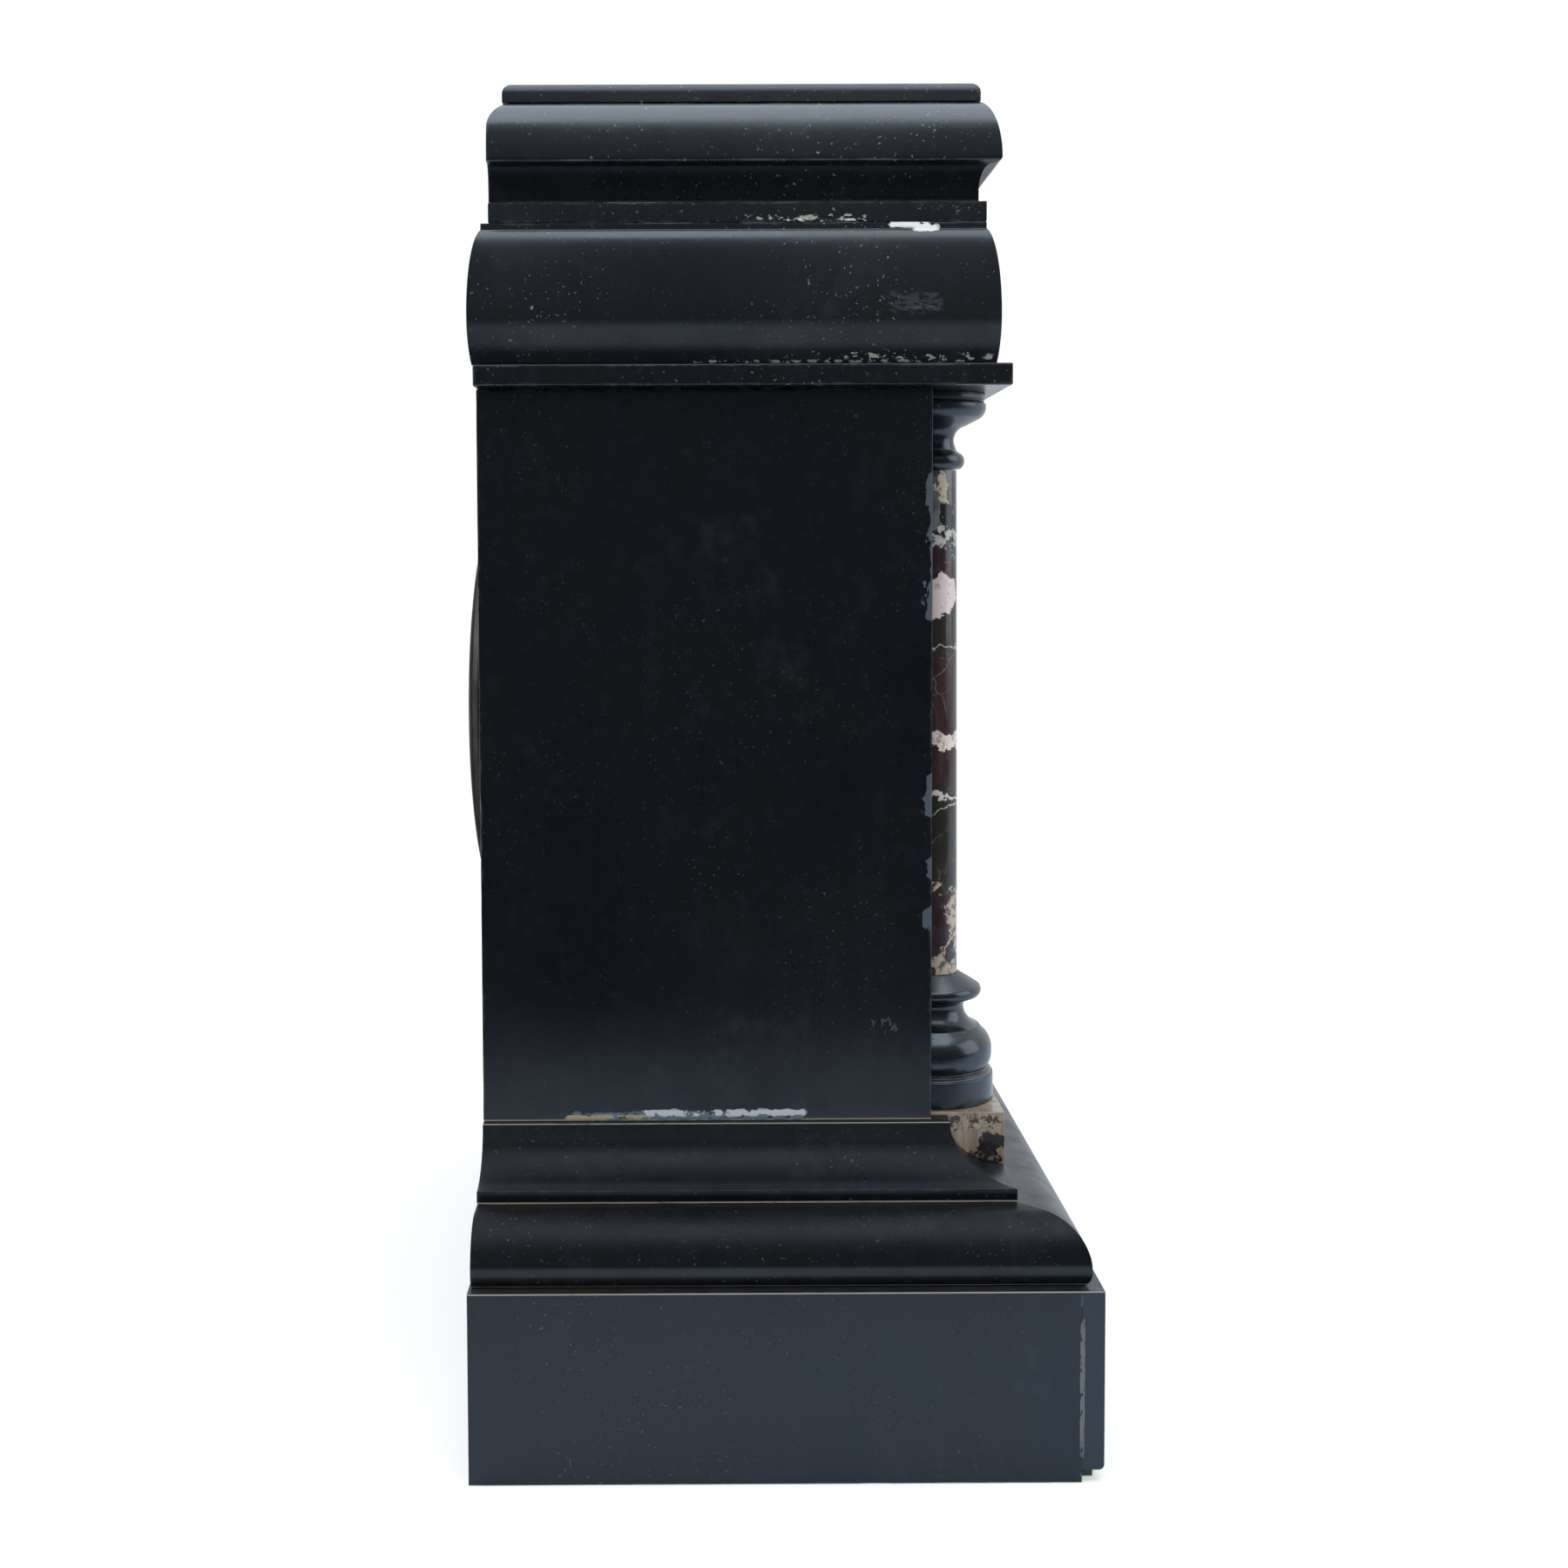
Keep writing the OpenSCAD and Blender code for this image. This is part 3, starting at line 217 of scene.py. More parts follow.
def make_stage():
    """A pale floor that keeps the shadow, and a plain white background."""
    mesh = bpy.data.meshes.new("floor")
    half, gap = 12, 0.0002
    corners = ((-half, -half), (half, -half), (half, half), (-half, half))
    mesh.from_pydata([(x, y, -gap) for x, y in corners], [], [(0, 1, 2, 3)])
    floor = bpy.data.objects.new("floor", mesh)
    bpy.context.scene.collection.objects.link(floor)
    mat, g = material("floor")
    path = g.nodes.new("ShaderNodeLightPath")
    seen = g.math("MAXIMUM", path.outputs["Is Camera Ray"], path.outputs["Is Transmission Ray"])
    gloss = path.outputs["Is Glossy Ray"]
    tone = g.mix(g.noise(6, 3), (0.80, 0.80, 0.80), (0.83, 0.83, 0.83))
    body = g.add("ShaderNodeBsdfDiffuse", {"Color": g.mix(gloss, tone, (0.74, 0.83, 0.98))})
    near = g.add("ShaderNodeAddShader", {0: body, 1: g.glow((1, 1, 1, 1), g.times(seen, 0.35))})
    # Away from the clock the floor runs into the white background
    away = g.add("ShaderNodeVectorMath", {0: g.point()}, "Value", operation="LENGTH")
    whole = g.blend(g.times(seen, g.span(away, 0.45, 1.1)), near, g.glow((1, 1, 1, 1)))
    # Reflections find a lit table top that ends in a dim room on the left
    dim, far = g.glow((0.055, 0.062, 0.074, 1)), g.glow((0.90, 0.94, 1.0, 1))
    mirrored = g.blend(g.span(g.axis("X"), 0.05, 0.6), whole, far)
    mirrored = g.blend(g.span(g.axis("X"), -0.60, -0.26, 1, 0), mirrored, dim)
    g.finish(g.blend(gloss, whole, mirrored))
    mesh.materials.append(mat)

    world = bpy.data.worlds.new("world")
    bpy.context.scene.world = world
    world.use_nodes = True
    g = Graph(world.node_tree)
    path = g.nodes.new("ShaderNodeLightPath")
    seen = g.math("MAXIMUM", path.outputs["Is Camera Ray"], path.outputs["Is Transmission Ray"])
    # Reflections find white on the right, and on the left a room that gets lighter upwards
    way = g.add("ShaderNodeTexCoord", out="Generated")
    right, height = g.part_of(way, "X"), g.part_of(way, "Z")
    room = g.math("ADD", g.span(height, 0.0, 0.6, 0.09, 0.28, False), g.span(height, 0.55, 0.9, 0, 0.8))
    room = g.mix(room, (0, 0, 0), (0.92, 0.97, 1.06))
    tone = g.mix(g.span(right, -0.25, 0.35), room, (0.93, 0.97, 1.05))
    tone = g.mix(path.outputs["Is Glossy Ray"], (0.62, 0.64, 0.67), tone)
    tone = g.mix(seen, tone, (1, 1, 1))
    g.finish(g.add("ShaderNodeBackground", {"Color": tone, "Strength": 1.0}), "ShaderNodeOutputWorld")

    cool = (0.92, 0.96, 1.0)
    area("top_light", (-0.35, 0.0, 1.7), (0, 0, 0.2), (1.6, 1.7), 19, cool)
    area("front_light", (-0.5, -1.7, 0.8), (0, 0, 0.2), (1.2, 1.4), 11, cool)
    area("back_light", (0.3, 1.8, 1.0), (0, 0, 0.2), (1.4, 1.2), 9)
    bpy.context.scene.view_settings.view_transform = "Standard"


# Mesh tools
def link(name, mesh, mat, nodes=(), body="root", weighted=True):
    """Puts a new piece in the scene, with its finish, its body and the nodes it stands for."""
    obj = bpy.data.objects.new(name, mesh)
    bpy.context.scene.collection.objects.link(obj)
    mesh.materials.append(mat)
    for face in mesh.polygons:
        face.use_smooth = True
    mesh.set_sharp_from_angle(angle=math.radians(SHARP_EDGE))
    if weighted:
        fix = obj.modifiers.new("normals", "WEIGHTED_NORMAL")
        fix.keep_sharp = True
        fix.weight = 60
    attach(obj, body)
    if nodes:
        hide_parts(*nodes)
    return obj


def arc(cx, cy, rx, ry, a0, a1, n=20):
    steps = [math.radians(a0 + (a1 - a0) * i / n) for i in range(n + 1)]
    return [(cx + rx * math.cos(a), cy + ry * math.sin(a)) for a in steps]


def way_round(points):
    """1 where an outline runs anticlockwise, and -1 where it runs clockwise."""
    twice_area = sum(a[0] * b[1] - b[0] * a[1] for a, b in zip(points, points[1:] + points[:1]))
    return 1 if twice_area > 0 else -1


def ease(points, r, closed=True):
    """Rounds the sharp corners of an outline to radius r.

    Returns [(x, y, mark)]. The mark is 1 on an outer corner, -1 in an inner one and 0 between them. A spare
    point on each side of a corner keeps the flat beside it flat.
    """
    spare_max, spare_min, most, n = 0.6, 0.03, 0.45, 3
    out = []
    count = len(points)
    side = way_round(points)
    for i, p in enumerate(points):
        if not closed and i in (0, count - 1):
            out.append((*p, 0.0))
            continue
        p = Vector(p)
        a, b = Vector(points[i - 1]) - p, Vector(points[(i + 1) % count]) - p
        if a.length < 1e-6 or b.length < 1e-6:
            continue
        u, v = a.normalized(), b.normalized()
        turn = math.acos(max(-1, min(1, -u.dot(v))))
        if math.degrees(turn) < CURVE_TURN:
            out.append((p.x, p.y, 0.0))
            continue
        mark = 1.0 if (-u.x * v.y + u.y * v.x) * side > 0 else -1.0
        cut = min(r * math.tan(turn / 2), most * a.length, most * b.length)
        start, end = p + u * cut, p + v * cut
        spare = [min(spare_max, most * length - cut) for length in (a.length, b.length)]
        if spare[0] > spare_min:
            out.append((*(start + u * spare[0]), 0.0))
        for k in range(n + 1):
            t = k / n
            q = start * (1 - t) ** 2 + p * 2 * t * (1 - t) + end * t * t
            out.append((q.x, q.y, mark))
        if spare[1] > spare_min:
            out.append((*(end + v * spare[1]), 0.0))
    return out


def outward(outline):
    """Unit normals of a closed outline, pointing out of it."""
    side = way_round(outline)
    out = []
    for i in range(len(outline)):
        a, b = outline[i - 1], outline[(i + 1) % len(outline)]
        d = Vector((b[0] - a[0], b[1] - a[1]))
        d = d.normalized() if d.length > 1e-9 else Vector((1, 0))
        out.append(Vector((d.y, -d.x)) * side)
    return out


def drawn_in(outline, ns, depth):
    """The outline moved in by depth. A rounded corner goes to one point, and steps too small close up."""
    nearly_parallel, passes = 0.1, 6
    count = len(outline)
    moved = [Vector(p[:2]) - n * depth for p, n in zip(outline, ns)]
    out = []
    for i, p in enumerate(outline):
        a = next((k for k in range(i, i - count, -1) if outline[k % count][2] == 0), i) % count
        b = next((k for k in range(i, i + count) if outline[k % count][2] == 0), i) % count
        if p[2] == 0 or a == b:
            out.append(moved[i])
            continue
        ta, tb = Vector((-ns[a].y, ns[a].x)), Vector((-ns[b].y, ns[b].x))
        cross = ta.cross(tb)
        gap = moved[b] - moved[a]
        if abs(cross) > nearly_parallel:
            out.append(moved[a] + ta * (gap.cross(tb) / cross))
        else:
            out.append((moved[a] + moved[b]) / 2)
    for _ in range(passes):
        for i in range(count):
            j = (i + 1) % count
            was = Vector(outline[j][:2]) - Vector(outline[i][:2])
            if (out[j] - out[i]).dot(was) < 0:
                out[i] = out[j] = (out[i] + out[j]) / 2
    return out


def chip(point, mark, worn):
    """How far a worn corner stands back here, in millimetres."""
    if mark <= 0 or worn <= 0:
        return 0.0
    p = Vector(point)
    n = noise.noise(p * 0.13) + 0.6 * noise.noise(p * 0.45) + 0.35 * noise.noise(p * 1.3)
    return worn * (0.25 + 2.2 * max(0.0, n - 0.18))


def layers(bm):
    """The marks that the finishes read at each vertex: how worn an arris is, and where dust gathers."""
    floats = bm.verts.layers.float
    return [floats.get(name) or floats.new(name) for name in ("wear", "dust")]


def sweep(outline, place, start, end, step=4.0, eased=(False, False), worn=0.12, inset=0.4, bm=None):
    """Carries a closed outline of (u, h, mark) in a straight line.

    place(u, h, s) is a point in millimetres. start(u) and end(u) are the limits of s, so ends can be mitred.
    An eased end draws in over its last stations, and its face starts a little way in from the rim.
    """
    bm = bm or bmesh.new()
    wear, dust = layers(bm)
    ns = outward(outline)
    length = abs(end(0) - start(0))
    count = max(2, int(length / step))
    cuts = [(i / count, 0, 0) for i in range(count + 1)]
    inner = inset + 0.5
    fade = [(0, inner, 0), (0, inset, 1), (0.3 * inset / length, 0.3 * inset, 1), (inset / length, 0, 0.5),
        ((inset + 0.6) / length, 0, 0)]
    face = {pull: drawn_in(outline, ns, pull) for pull in (inset, inner)}
    if eased[0]:
        cuts = fade + cuts[1:]
    if eased[1]:
        cuts = cuts[:-1] + [(1 - t, pull, rim) for t, pull, rim in reversed(fade)]
    rows = []
    for t, pull, rim in cuts:
        row = []
        for i, ((u, h, mark), n) in enumerate(zip(outline, ns)):
            s = start(u) + (end(u) - start(u)) * t
            spot = place(u, h, s)
            shown = 0.0 if pull == inner else max(mark, rim, 0.0)
            back = chip(spot, shown, worn) + pull
            q = place(*face[pull][i], s) if pull in face else place(u - n.x * back, h - n.y * back, s)
            v = bm.verts.new(Vector(q) * MM)
            v[wear] = shown
            v[dust] = 1.0 if mark < 0 else 0.0
            row.append(v)
        rows.append(row)
    k = len(outline)
    for a, b in zip(rows, rows[1:]):
        for i in range(k):
            bm.faces.new((a[i], a[(i + 1) % k], b[(i + 1) % k], b[i]))
    bm.faces.new(rows[0][::-1])
    bm.faces.new(rows[-1])
    bmesh.ops.remove_doubles(bm, verts=[v for row in (rows[:2] + rows[-2:]) for v in row], dist=2e-6)
    return bm


def mesh_of(bm, name):
    """The finished mesh of a bmesh, which is freed."""
    bmesh.ops.recalc_face_normals(bm, faces=bm.faces)
    mesh = bpy.data.meshes.new(name)
    bm.to_mesh(mesh)
    bm.free()
    return mesh


def slab(name, lo, hi, mat, nodes, along, r=0.45, worn=0.12, step=4.0):
    """A slate slab between two corners with worn, eased arrises, its long way along one axis."""
    order = {"x": (1, 2, 0), "y": (0, 2, 1), "z": (0, 1, 2)}[along]
    (a0, b0, c0), (a1, b1, c1) = [[v[i] for i in order] for v in (lo, hi)]
    outline = ease([(a0, b0), (a1, b0), (a1, b1), (a0, b1)], r)

    def place(u, h, s):
        p = [0, 0, 0]
        for i, v in zip(order, (u, h, s)):
            p[i] = v
        return p

    bm = sweep(outline, place, lambda u: c0, lambda u: c1, step, (True, True), worn, r)
    return link(name, mesh_of(bm, name), mat, nodes)


def front_bar(outline, x, y, z, sign=1):
    """A mitred bar along the front, or along the back when sign is -1 and y is the back line."""
    return sweep(outline, lambda u, h, s: (s, y - sign * u, z + h), lambda u: -(x + u), lambda u: x + u)


def side_bars(outline, x, y, z, back, mitred=False):
    """The bars along both sides, mitred in front. Their backs are mitred too, or end square and eased."""
    bm = bmesh.new()
    for sign in (1, -1):
        sweep(outline, lambda u, h, s: (sign * (x + u), s, z + h), lambda u: y - u,
            lambda u: back + u if mitred else back, eased=(False, not mitred), bm=bm)
    return bm


def lathe(profile, centres, turns, worn=0.0):
    """Turns an open profile of (r, h, mark), which starts and ends on its axis, at each centre."""
    bm = bmesh.new()
    wear, dust = layers(bm)
    for cx, cy, cz in centres:
        rows = []
        for r, h, mark in profile:
            ring = []
            for k in range(turns if r > 1e-6 else 1):
                a = 2 * math.pi * k / turns
                spot = (cx + r * math.cos(a), cy + r * math.sin(a), cz + h)
                shown = r - (chip(spot, mark, worn) if r > 1 else 0)
                v = bm.verts.new(Vector((cx + shown * math.cos(a), cy + shown * math.sin(a), cz + h)) * MM)
                v[wear], v[dust] = max(mark, 0.0), 1.0 if mark < 0 else 0.0
                ring.append(v)
            rows.append(ring)
        for a, b in zip(rows, rows[1:]):
            for k in range(turns):
                j = (k + 1) % turns
                quad = [a[k % len(a)], a[j % len(a)], b[j % len(b)], b[k % len(b)]]
                unique = list(dict.fromkeys(quad))
                if len(unique) > 2:
                    bm.faces.new(unique)
    return bm


def cad_copy(node, mat, body="root", width=0.3):
    """A copy of a CAD node's mesh with its arrises rounded, which stands for the node."""
    flat, arris = math.radians(0.4), math.radians(35)
    bm = bmesh.new()
    bm.from_mesh(frame["nodes"][node].data)
    bmesh.ops.remove_doubles(bm, verts=bm.verts, dist=1e-6)
    bmesh.ops.dissolve_limit(bm, angle_limit=flat, verts=bm.verts, edges=bm.edges)
    sharp = [e for e in bm.edges if len(e.link_faces) == 2 and e.calc_face_angle() > arris]
    bmesh.ops.bevel(bm, geom=sharp, offset=width * MM, segments=2, profile=0.6, affect="EDGES",
        clamp_overlap=True)
    return link(node + "_eased", mesh_of(bm, node), mat, [node], body)


# Materials
def speckled(g, tone, cloud, specks):
    """Pale specks, thicker in some places than others, and larger pits. Returns the tone and the specks."""
    bent, small, large = g.bent(0.004, 300, 3), 620, 105
    each = g.channel(g.cells(small, bent, out="Color"), "G")
    size = g.math("ADD", g.cells(small, bent), g.times(each, 0.15))
    speck = g.times(g.span(size, 0.10, 0.26, 1, 0), g.span(g.noise(28, 4), 0.34, 0.60),
        g.span(cloud, 0.30, 0.62))
    tone = g.mix(g.times(speck, 0.55 * specks), tone, (0.34, 0.36, 0.40))
    pick = g.channel(g.cells(large, bent, out="Color"), "R")
    pit = g.times(g.span(g.cells(large, bent), 0.03, 0.065, 1, 0), g.span(pick, 0.92 - 0.08 * specks, 0.93))
    return g.mix(g.times(pit, 0.7), tone, (0.36, 0.37, 0.38)), speck


def smeared_on(g, tone, smears, marks):
    """Chips and smears on the photographed side. Returns the tone, and the smears with the new ones added."""
    side = g.span(g.axis("X"), -MARKED_X[0] * MM, -MARKED_X[1] * MM, 1, 0)
    for y, half, height, z_half, colour, threshold, grain in marks:
        zone = g.times(side, g.band(g.axis("Y"), y * MM, half * MM, min(2.5, half) * MM),
            g.band(g.axis("Z"), height * MM, 0.4 * z_half * MM, 0.9 * z_half * MM))
        ragged = g.noise(1, 5, 0.62, 0.4, at=g.scaled(grain, (y, 0, height)))
        ragged = g.math("SUBTRACT", ragged, g.times(g.math("SUBTRACT", 1.0, zone), 0.22))
        smear = g.times(zone, g.span(ragged, threshold, threshold + 0.035))
        tone = g.mix(smear, tone, colour)
        smears = g.math("MAXIMUM", smears, smear)
    return tone, smears


def filled_edge(g, tone, smears, runs):
    """Grey filler down the front edge of the photographed side panel. Returns what smeared_on() does."""
    reach = 0.0
    for height, half, width in runs:
        band = g.band(g.axis("Z"), height * MM, half * MM, 2.2 * MM)
        reach = g.math("MAXIMUM", reach, g.times(band, width * MM))
    ragged = g.noise(1, 3, 0.6, at=g.scaled((300, 300, 130)))
    reach = g.times(reach, g.span(ragged, 0.30, 0.65, 0.25, 1.35))
    depth = g.math("SUBTRACT", g.axis("Y"), BODY_FRONT * MM)
    outside = g.span(g.axis("X"), (1 - BODY_X) * MM, (3 - BODY_X) * MM, 1, 0)
    run = g.times(g.span(g.math("SUBTRACT", reach, depth), 0, 0.0003), outside)
    return g.mix(g.times(run, 0.9), tone, (0.060, 0.075, 0.088)), g.math("MAXIMUM", smears, run)


def slate(name, polish=0.19, marks=(), lift=1.0, runs=(), specks=1.0, haze=(), shine=0.5):
    """Near-black slate: cloudy blue-black, pale specks, wiped streaks, worn arrises and dusty low joints.

    marks are chips and smears: (centre along Y, half, z centre, z half, colour, ragged threshold, grain).
    runs are bands of filler down the front edge: (z, half, how far in).
    haze paints soft lighter bands along the mouldings as painted highlights and painted reflection: (z, half,
    soft, strength).
    """
    mat, g = material(name)
    z = g.axis("Z")
    cloud = g.noise(9, 5, 0.6, 0.4)
    # lift scales the slate's colour; above 1 it is painted light that makes the slab lighter
    tone = g.mix(g.span(cloud, 0.32, 0.68), [c * lift for c in (0.0032, 0.0044, 0.0064)],
        [c * lift for c in (0.0056, 0.0056, 0.0060)])
    fine = g.noise(240, 3, 0.6)
    tone = g.mix(g.span(fine, 0.45, 0.75, 0, 0.30), tone, (0.010, 0.013, 0.017))
    streak = g.noise(1, 4, 0.6, at=g.scaled((70, 70, 4)))
    tone = g.mix(g.span(streak, 0.52, 0.80, 0, 0.30), tone, (0.011, 0.014, 0.019))
    tone, speck = speckled(g, tone, cloud, specks)
    # Bloom: faint grey patches of old polish
    bloom = g.times(g.span(g.noise(26, 5, 0.65), 0.54, 0.74), g.span(g.noise(210, 3, 0.6), 0.3, 0.7))
    tone = g.mix(g.times(bloom, 0.22), tone, (0.045, 0.050, 0.058))
    # Painted highlights and painted reflection: soft lighter bands at the heights that haze lists
    for level, half, fade, strength in haze:
        soft = g.times(g.band(z, level * MM, half * MM, fade * MM), g.span(g.noise(40, 3), 0.2, 0.6, 0.6, 1))
        tone = g.mix(g.times(soft, strength), tone, (0.050, 0.056, 0.068))
    # Dust lies on what faces up
    up = g.part_of(g.add("ShaderNodeNewGeometry", out="Normal"), "Z")
    lies = g.times(g.span(up, 0.35, 0.95), g.span(g.noise(90, 5, 0.7), 0.35, 0.7))
    tone = g.mix(g.times(lies, 0.12 * shine), tone, (0.10, 0.105, 0.115))
    # Wear on the arrises
    worn = g.times(g.mark("wear"), g.span(g.noise(130, 4, 0.7), 0.44, 0.68))
    tone = g.mix(g.times(worn, 0.24), tone, (0.10, 0.105, 0.11))
    # Dust in the joints of the base, and a line of it along each level there
    low = g.span(z, (BODY + 1.5) * MM, (BODY + 5) * MM, 1.0, 0.12)
    dusty = g.times(g.mark("dust"), low, g.span(g.noise(60, 4, 0.7), 0.30, 0.50))
    for level in (PLINTH, OVOLO, BODY):
        line = g.times(g.band(z, (level + 0.1) * MM, 0.35 * MM, 0.3 * MM),
            g.span(g.noise(70, 4, 0.7), 0.22, 0.40))
        dusty = g.math("MAXIMUM", dusty, g.times(line, g.span(up, 0.3, 0.6, 1, 0)))
    tone = g.mix(g.times(dusty, 0.85), tone, (0.42, 0.37, 0.30))
    tone, smears = smeared_on(g, tone, g.times(dusty, 0.6), marks)
    if runs:
        tone, smears = filled_edge(g, tone, smears, runs)
    rough = g.span(cloud, 0.3, 0.7, polish - 0.05, polish + 0.10)
    rough = g.math("ADD", rough, g.times(g.math("MAXIMUM", worn, g.times(lies, 0.5)), 0.25), clamp=True)
    rough = g.math("ADD", rough, g.times(smears, 0.4), clamp=True)
    under = g.bump(g.noise(22, 2), 0.10, 0.0012)
    normal = g.bump(g.math("ADD", g.noise(900, 2), g.times(speck, 2)), 0.16, 0.0001, under)
    principled(g, tone, rough, normal, Specular_Tint=(0.80, 0.90, 1.0, 1), Specular_IOR_Level=shine)
    return mat


def marble(name, ground, clasts, threads=(), crackle=0.5):
    """Brecciated marble.

    ground is (z, half, colour, colour) bands from the first, which is everywhere.
    clasts are pieces of other stone: (y, z, half y, half z, colour, spot colour, share of spots).
    threads are single white veins: (z, slope, thickness). All are in millimetres.
    """
    mat, g = material(name)
    y, z = g.axis("Y"), g.axis("Z")
    warp = g.noise(170, 4, 0.62, out="Color")
    yw = g.math("ADD", y, g.times(g.math("SUBTRACT", g.channel(warp, "R"), 0.5), 0.010))
    zw = g.math("ADD", z, g.times(g.math("SUBTRACT", g.channel(warp, "G"), 0.5), 0.012))
    drift = g.noise(120, 4, 0.6)
    blot = g.span(g.noise(1, 5, 0.65, 0.8, at=g.scaled((110, 110, 45))), 0.36, 0.64)
    tone = None
    for centre, half, dark, other in ground:
        here = g.mix(blot, dark, other)
        tone = here if tone is None else g.mix(g.band(zw, centre * MM, half * MM, 3 * MM), tone, here)
    # Faint vertical figure and crackle in the ground
    grain = g.noise(1, 3, 0.6, at=g.scaled((520, 520, 26)))
    tone = g.mix(g.span(grain, 0.5, 0.8, 0, 0.55), tone, (0.085, 0.055, 0.050))
    edge = g.cells(170, g.bent(0.010, 60, 4), feature="DISTANCE_TO_EDGE")
    vein = g.times(g.span(edge, 0.0, 0.045, 1, 0), g.span(drift, 0.50, 0.62))
    tone = g.mix(g.times(vein, crackle), tone, (0.34, 0.29, 0.25))
    mottle = g.noise(430, 4, 0.7)
    for cy, cz, hy, hz, colour, spot, share in clasts:
        off = [g.math("DIVIDE", g.math("SUBTRACT", value, centre * MM), half * MM)
            for value, centre, half in ((yw, cy, hy), (zw, cz, hz))]
        away = g.math("ADD", *[g.math("POWER", g.math("ABSOLUTE", value), 2.4) for value in off])
        fill = g.mix(g.span(mottle, 0.62 - share * 0.3, 0.72 - share * 0.3), colour, spot)
        tone = g.mix(g.span(away, 0.90, 1.06, 1, 0), tone, fill)
    for level, slope, thick in threads:
        line = g.math("SUBTRACT", zw, g.math("ADD", g.times(y, slope), level * MM))
        here = g.span(g.math("ABSOLUTE", line), thick * MM * 0.5, thick * MM, 1, 0)
        tone = g.mix(g.times(here, g.span(drift, 0.30, 0.45, 0.35, 0.9)), tone, (0.58, 0.54, 0.50))
    normal = g.bump(g.math("ADD", g.times(vein, 0.6), g.noise(600, 2)), 0.12, 0.0001)
    rough = g.span(drift, 0.3, 0.7, 0.12, 0.26)
    principled(g, tone, rough, normal, Specular_IOR_Level=0.5)
    return mat


def metal(name, colour, dark, rough, brushed=(900, 900, 900), spots=0.25, edge=(1, 1, 1)):
    """Brushed or turned metal with tarnish in clouds."""
    mat, g = material(name)
    grain = g.noise(1, 3, 0.6, at=g.scaled(brushed))
    cloud = g.noise(60, 5, 0.65, 0.3)
    tone = g.mix(g.span(cloud, 0.35, 0.75, 0, 1), colour, dark)
    tone = g.mix(g.span(grain, 0.35, 0.75, 0, 0.25), tone, dark)
    spot = g.times(g.span(g.cells(260), 0.06, 0.16, 1, 0), g.span(g.noise(25, 2), 0.5, 0.6))
    tone = g.mix(g.times(spot, spots), tone, (0.05, 0.035, 0.02))
    dull = g.span(cloud, 0.3, 0.8, rough - 0.05, rough + 0.14)
    dull = g.math("ADD", dull, g.times(grain, 0.08), clamp=True)
    principled(g, tone, dull, g.bump(grain, 0.10, 0.00005), Metallic=1.0, Specular_Tint=(*edge, 1))
    return mat


def enamel():
    mat, g = material("dial_enamel")
    tone = g.mix(g.span(g.noise(40, 4, 0.6), 0.35, 0.7), (0.82, 0.80, 0.73), (0.76, 0.73, 0.65))
    crack = g.span(g.cells(26, feature="DISTANCE_TO_EDGE"), 0.0, 0.006, 1, 0)
    tone = g.mix(g.times(crack, g.span(g.noise(14, 2), 0.5, 0.62), 0.45), tone, (0.35, 0.31, 0.26))
    rough = g.span(g.noise(70, 3), 0.3, 0.7, 0.10, 0.18)
    principled(g, tone, rough, g.bump(g.noise(30, 2), 0.06, 0.0006), Specular_IOR_Level=0.5)
    return mat


def ink():
    mat, g = material("dial_ink")
    tone = g.mix(g.span(g.noise(600, 3), 0.4, 0.7), (0.012, 0.012, 0.014), (0.030, 0.028, 0.028))
    principled(g, tone, g.span(g.noise(300, 2), 0.3, 0.7, 0.25, 0.4), g.bump(g.noise(900, 2), 0.05, 0.00003))
    return mat


def felt():
    mat, g = material("green_felt")
    fuzz = g.noise(1500, 4, 0.7)
    tone = g.mix(g.span(fuzz, 0.3, 0.7), (0.010, 0.075, 0.030), (0.030, 0.16, 0.065))
    tone = g.mix(g.span(g.noise(60, 4), 0.5, 0.75, 0, 0.4), tone, (0.05, 0.09, 0.05))
    principled(g, tone, g.span(fuzz, 0, 1, 0.85, 1.0), g.bump(fuzz, 0.6, 0.0004), Sheen_Weight=0.5,
        Sheen_Roughness=0.4)
    return mat


def board():
    mat, g = material("base_board")
    ring = g.add("ShaderNodeTexWave", {"Vector": g.scaled((6, 60, 60)), "Scale": 1.2, "Distortion": 5,
        "Detail": 3}, "Fac")
    tone = g.mix(ring, (0.30, 0.18, 0.09), (0.42, 0.28, 0.15))
    grain = g.noise(1, 4, at=g.scaled((12, 300, 300)))
    tone = g.mix(g.span(grain, 0.4, 0.8, 0, 0.5), tone, (0.16, 0.09, 0.05))
    principled(g, tone, g.span(ring, 0, 1, 0.55, 0.7), g.bump(ring, 0.15, 0.0002))
    return mat


def clear_glass():
    mat, g = material("bezel_glass")
    haze = g.span(g.noise(35, 4, 0.6), 0.45, 0.8, 0.0, 0.06)
    principled(g, (1, 1, 1), haze, g.bump(g.noise(12, 2), 0.03, 0.0005), Transmission_Weight=1.0, IOR=1.5)
    return mat
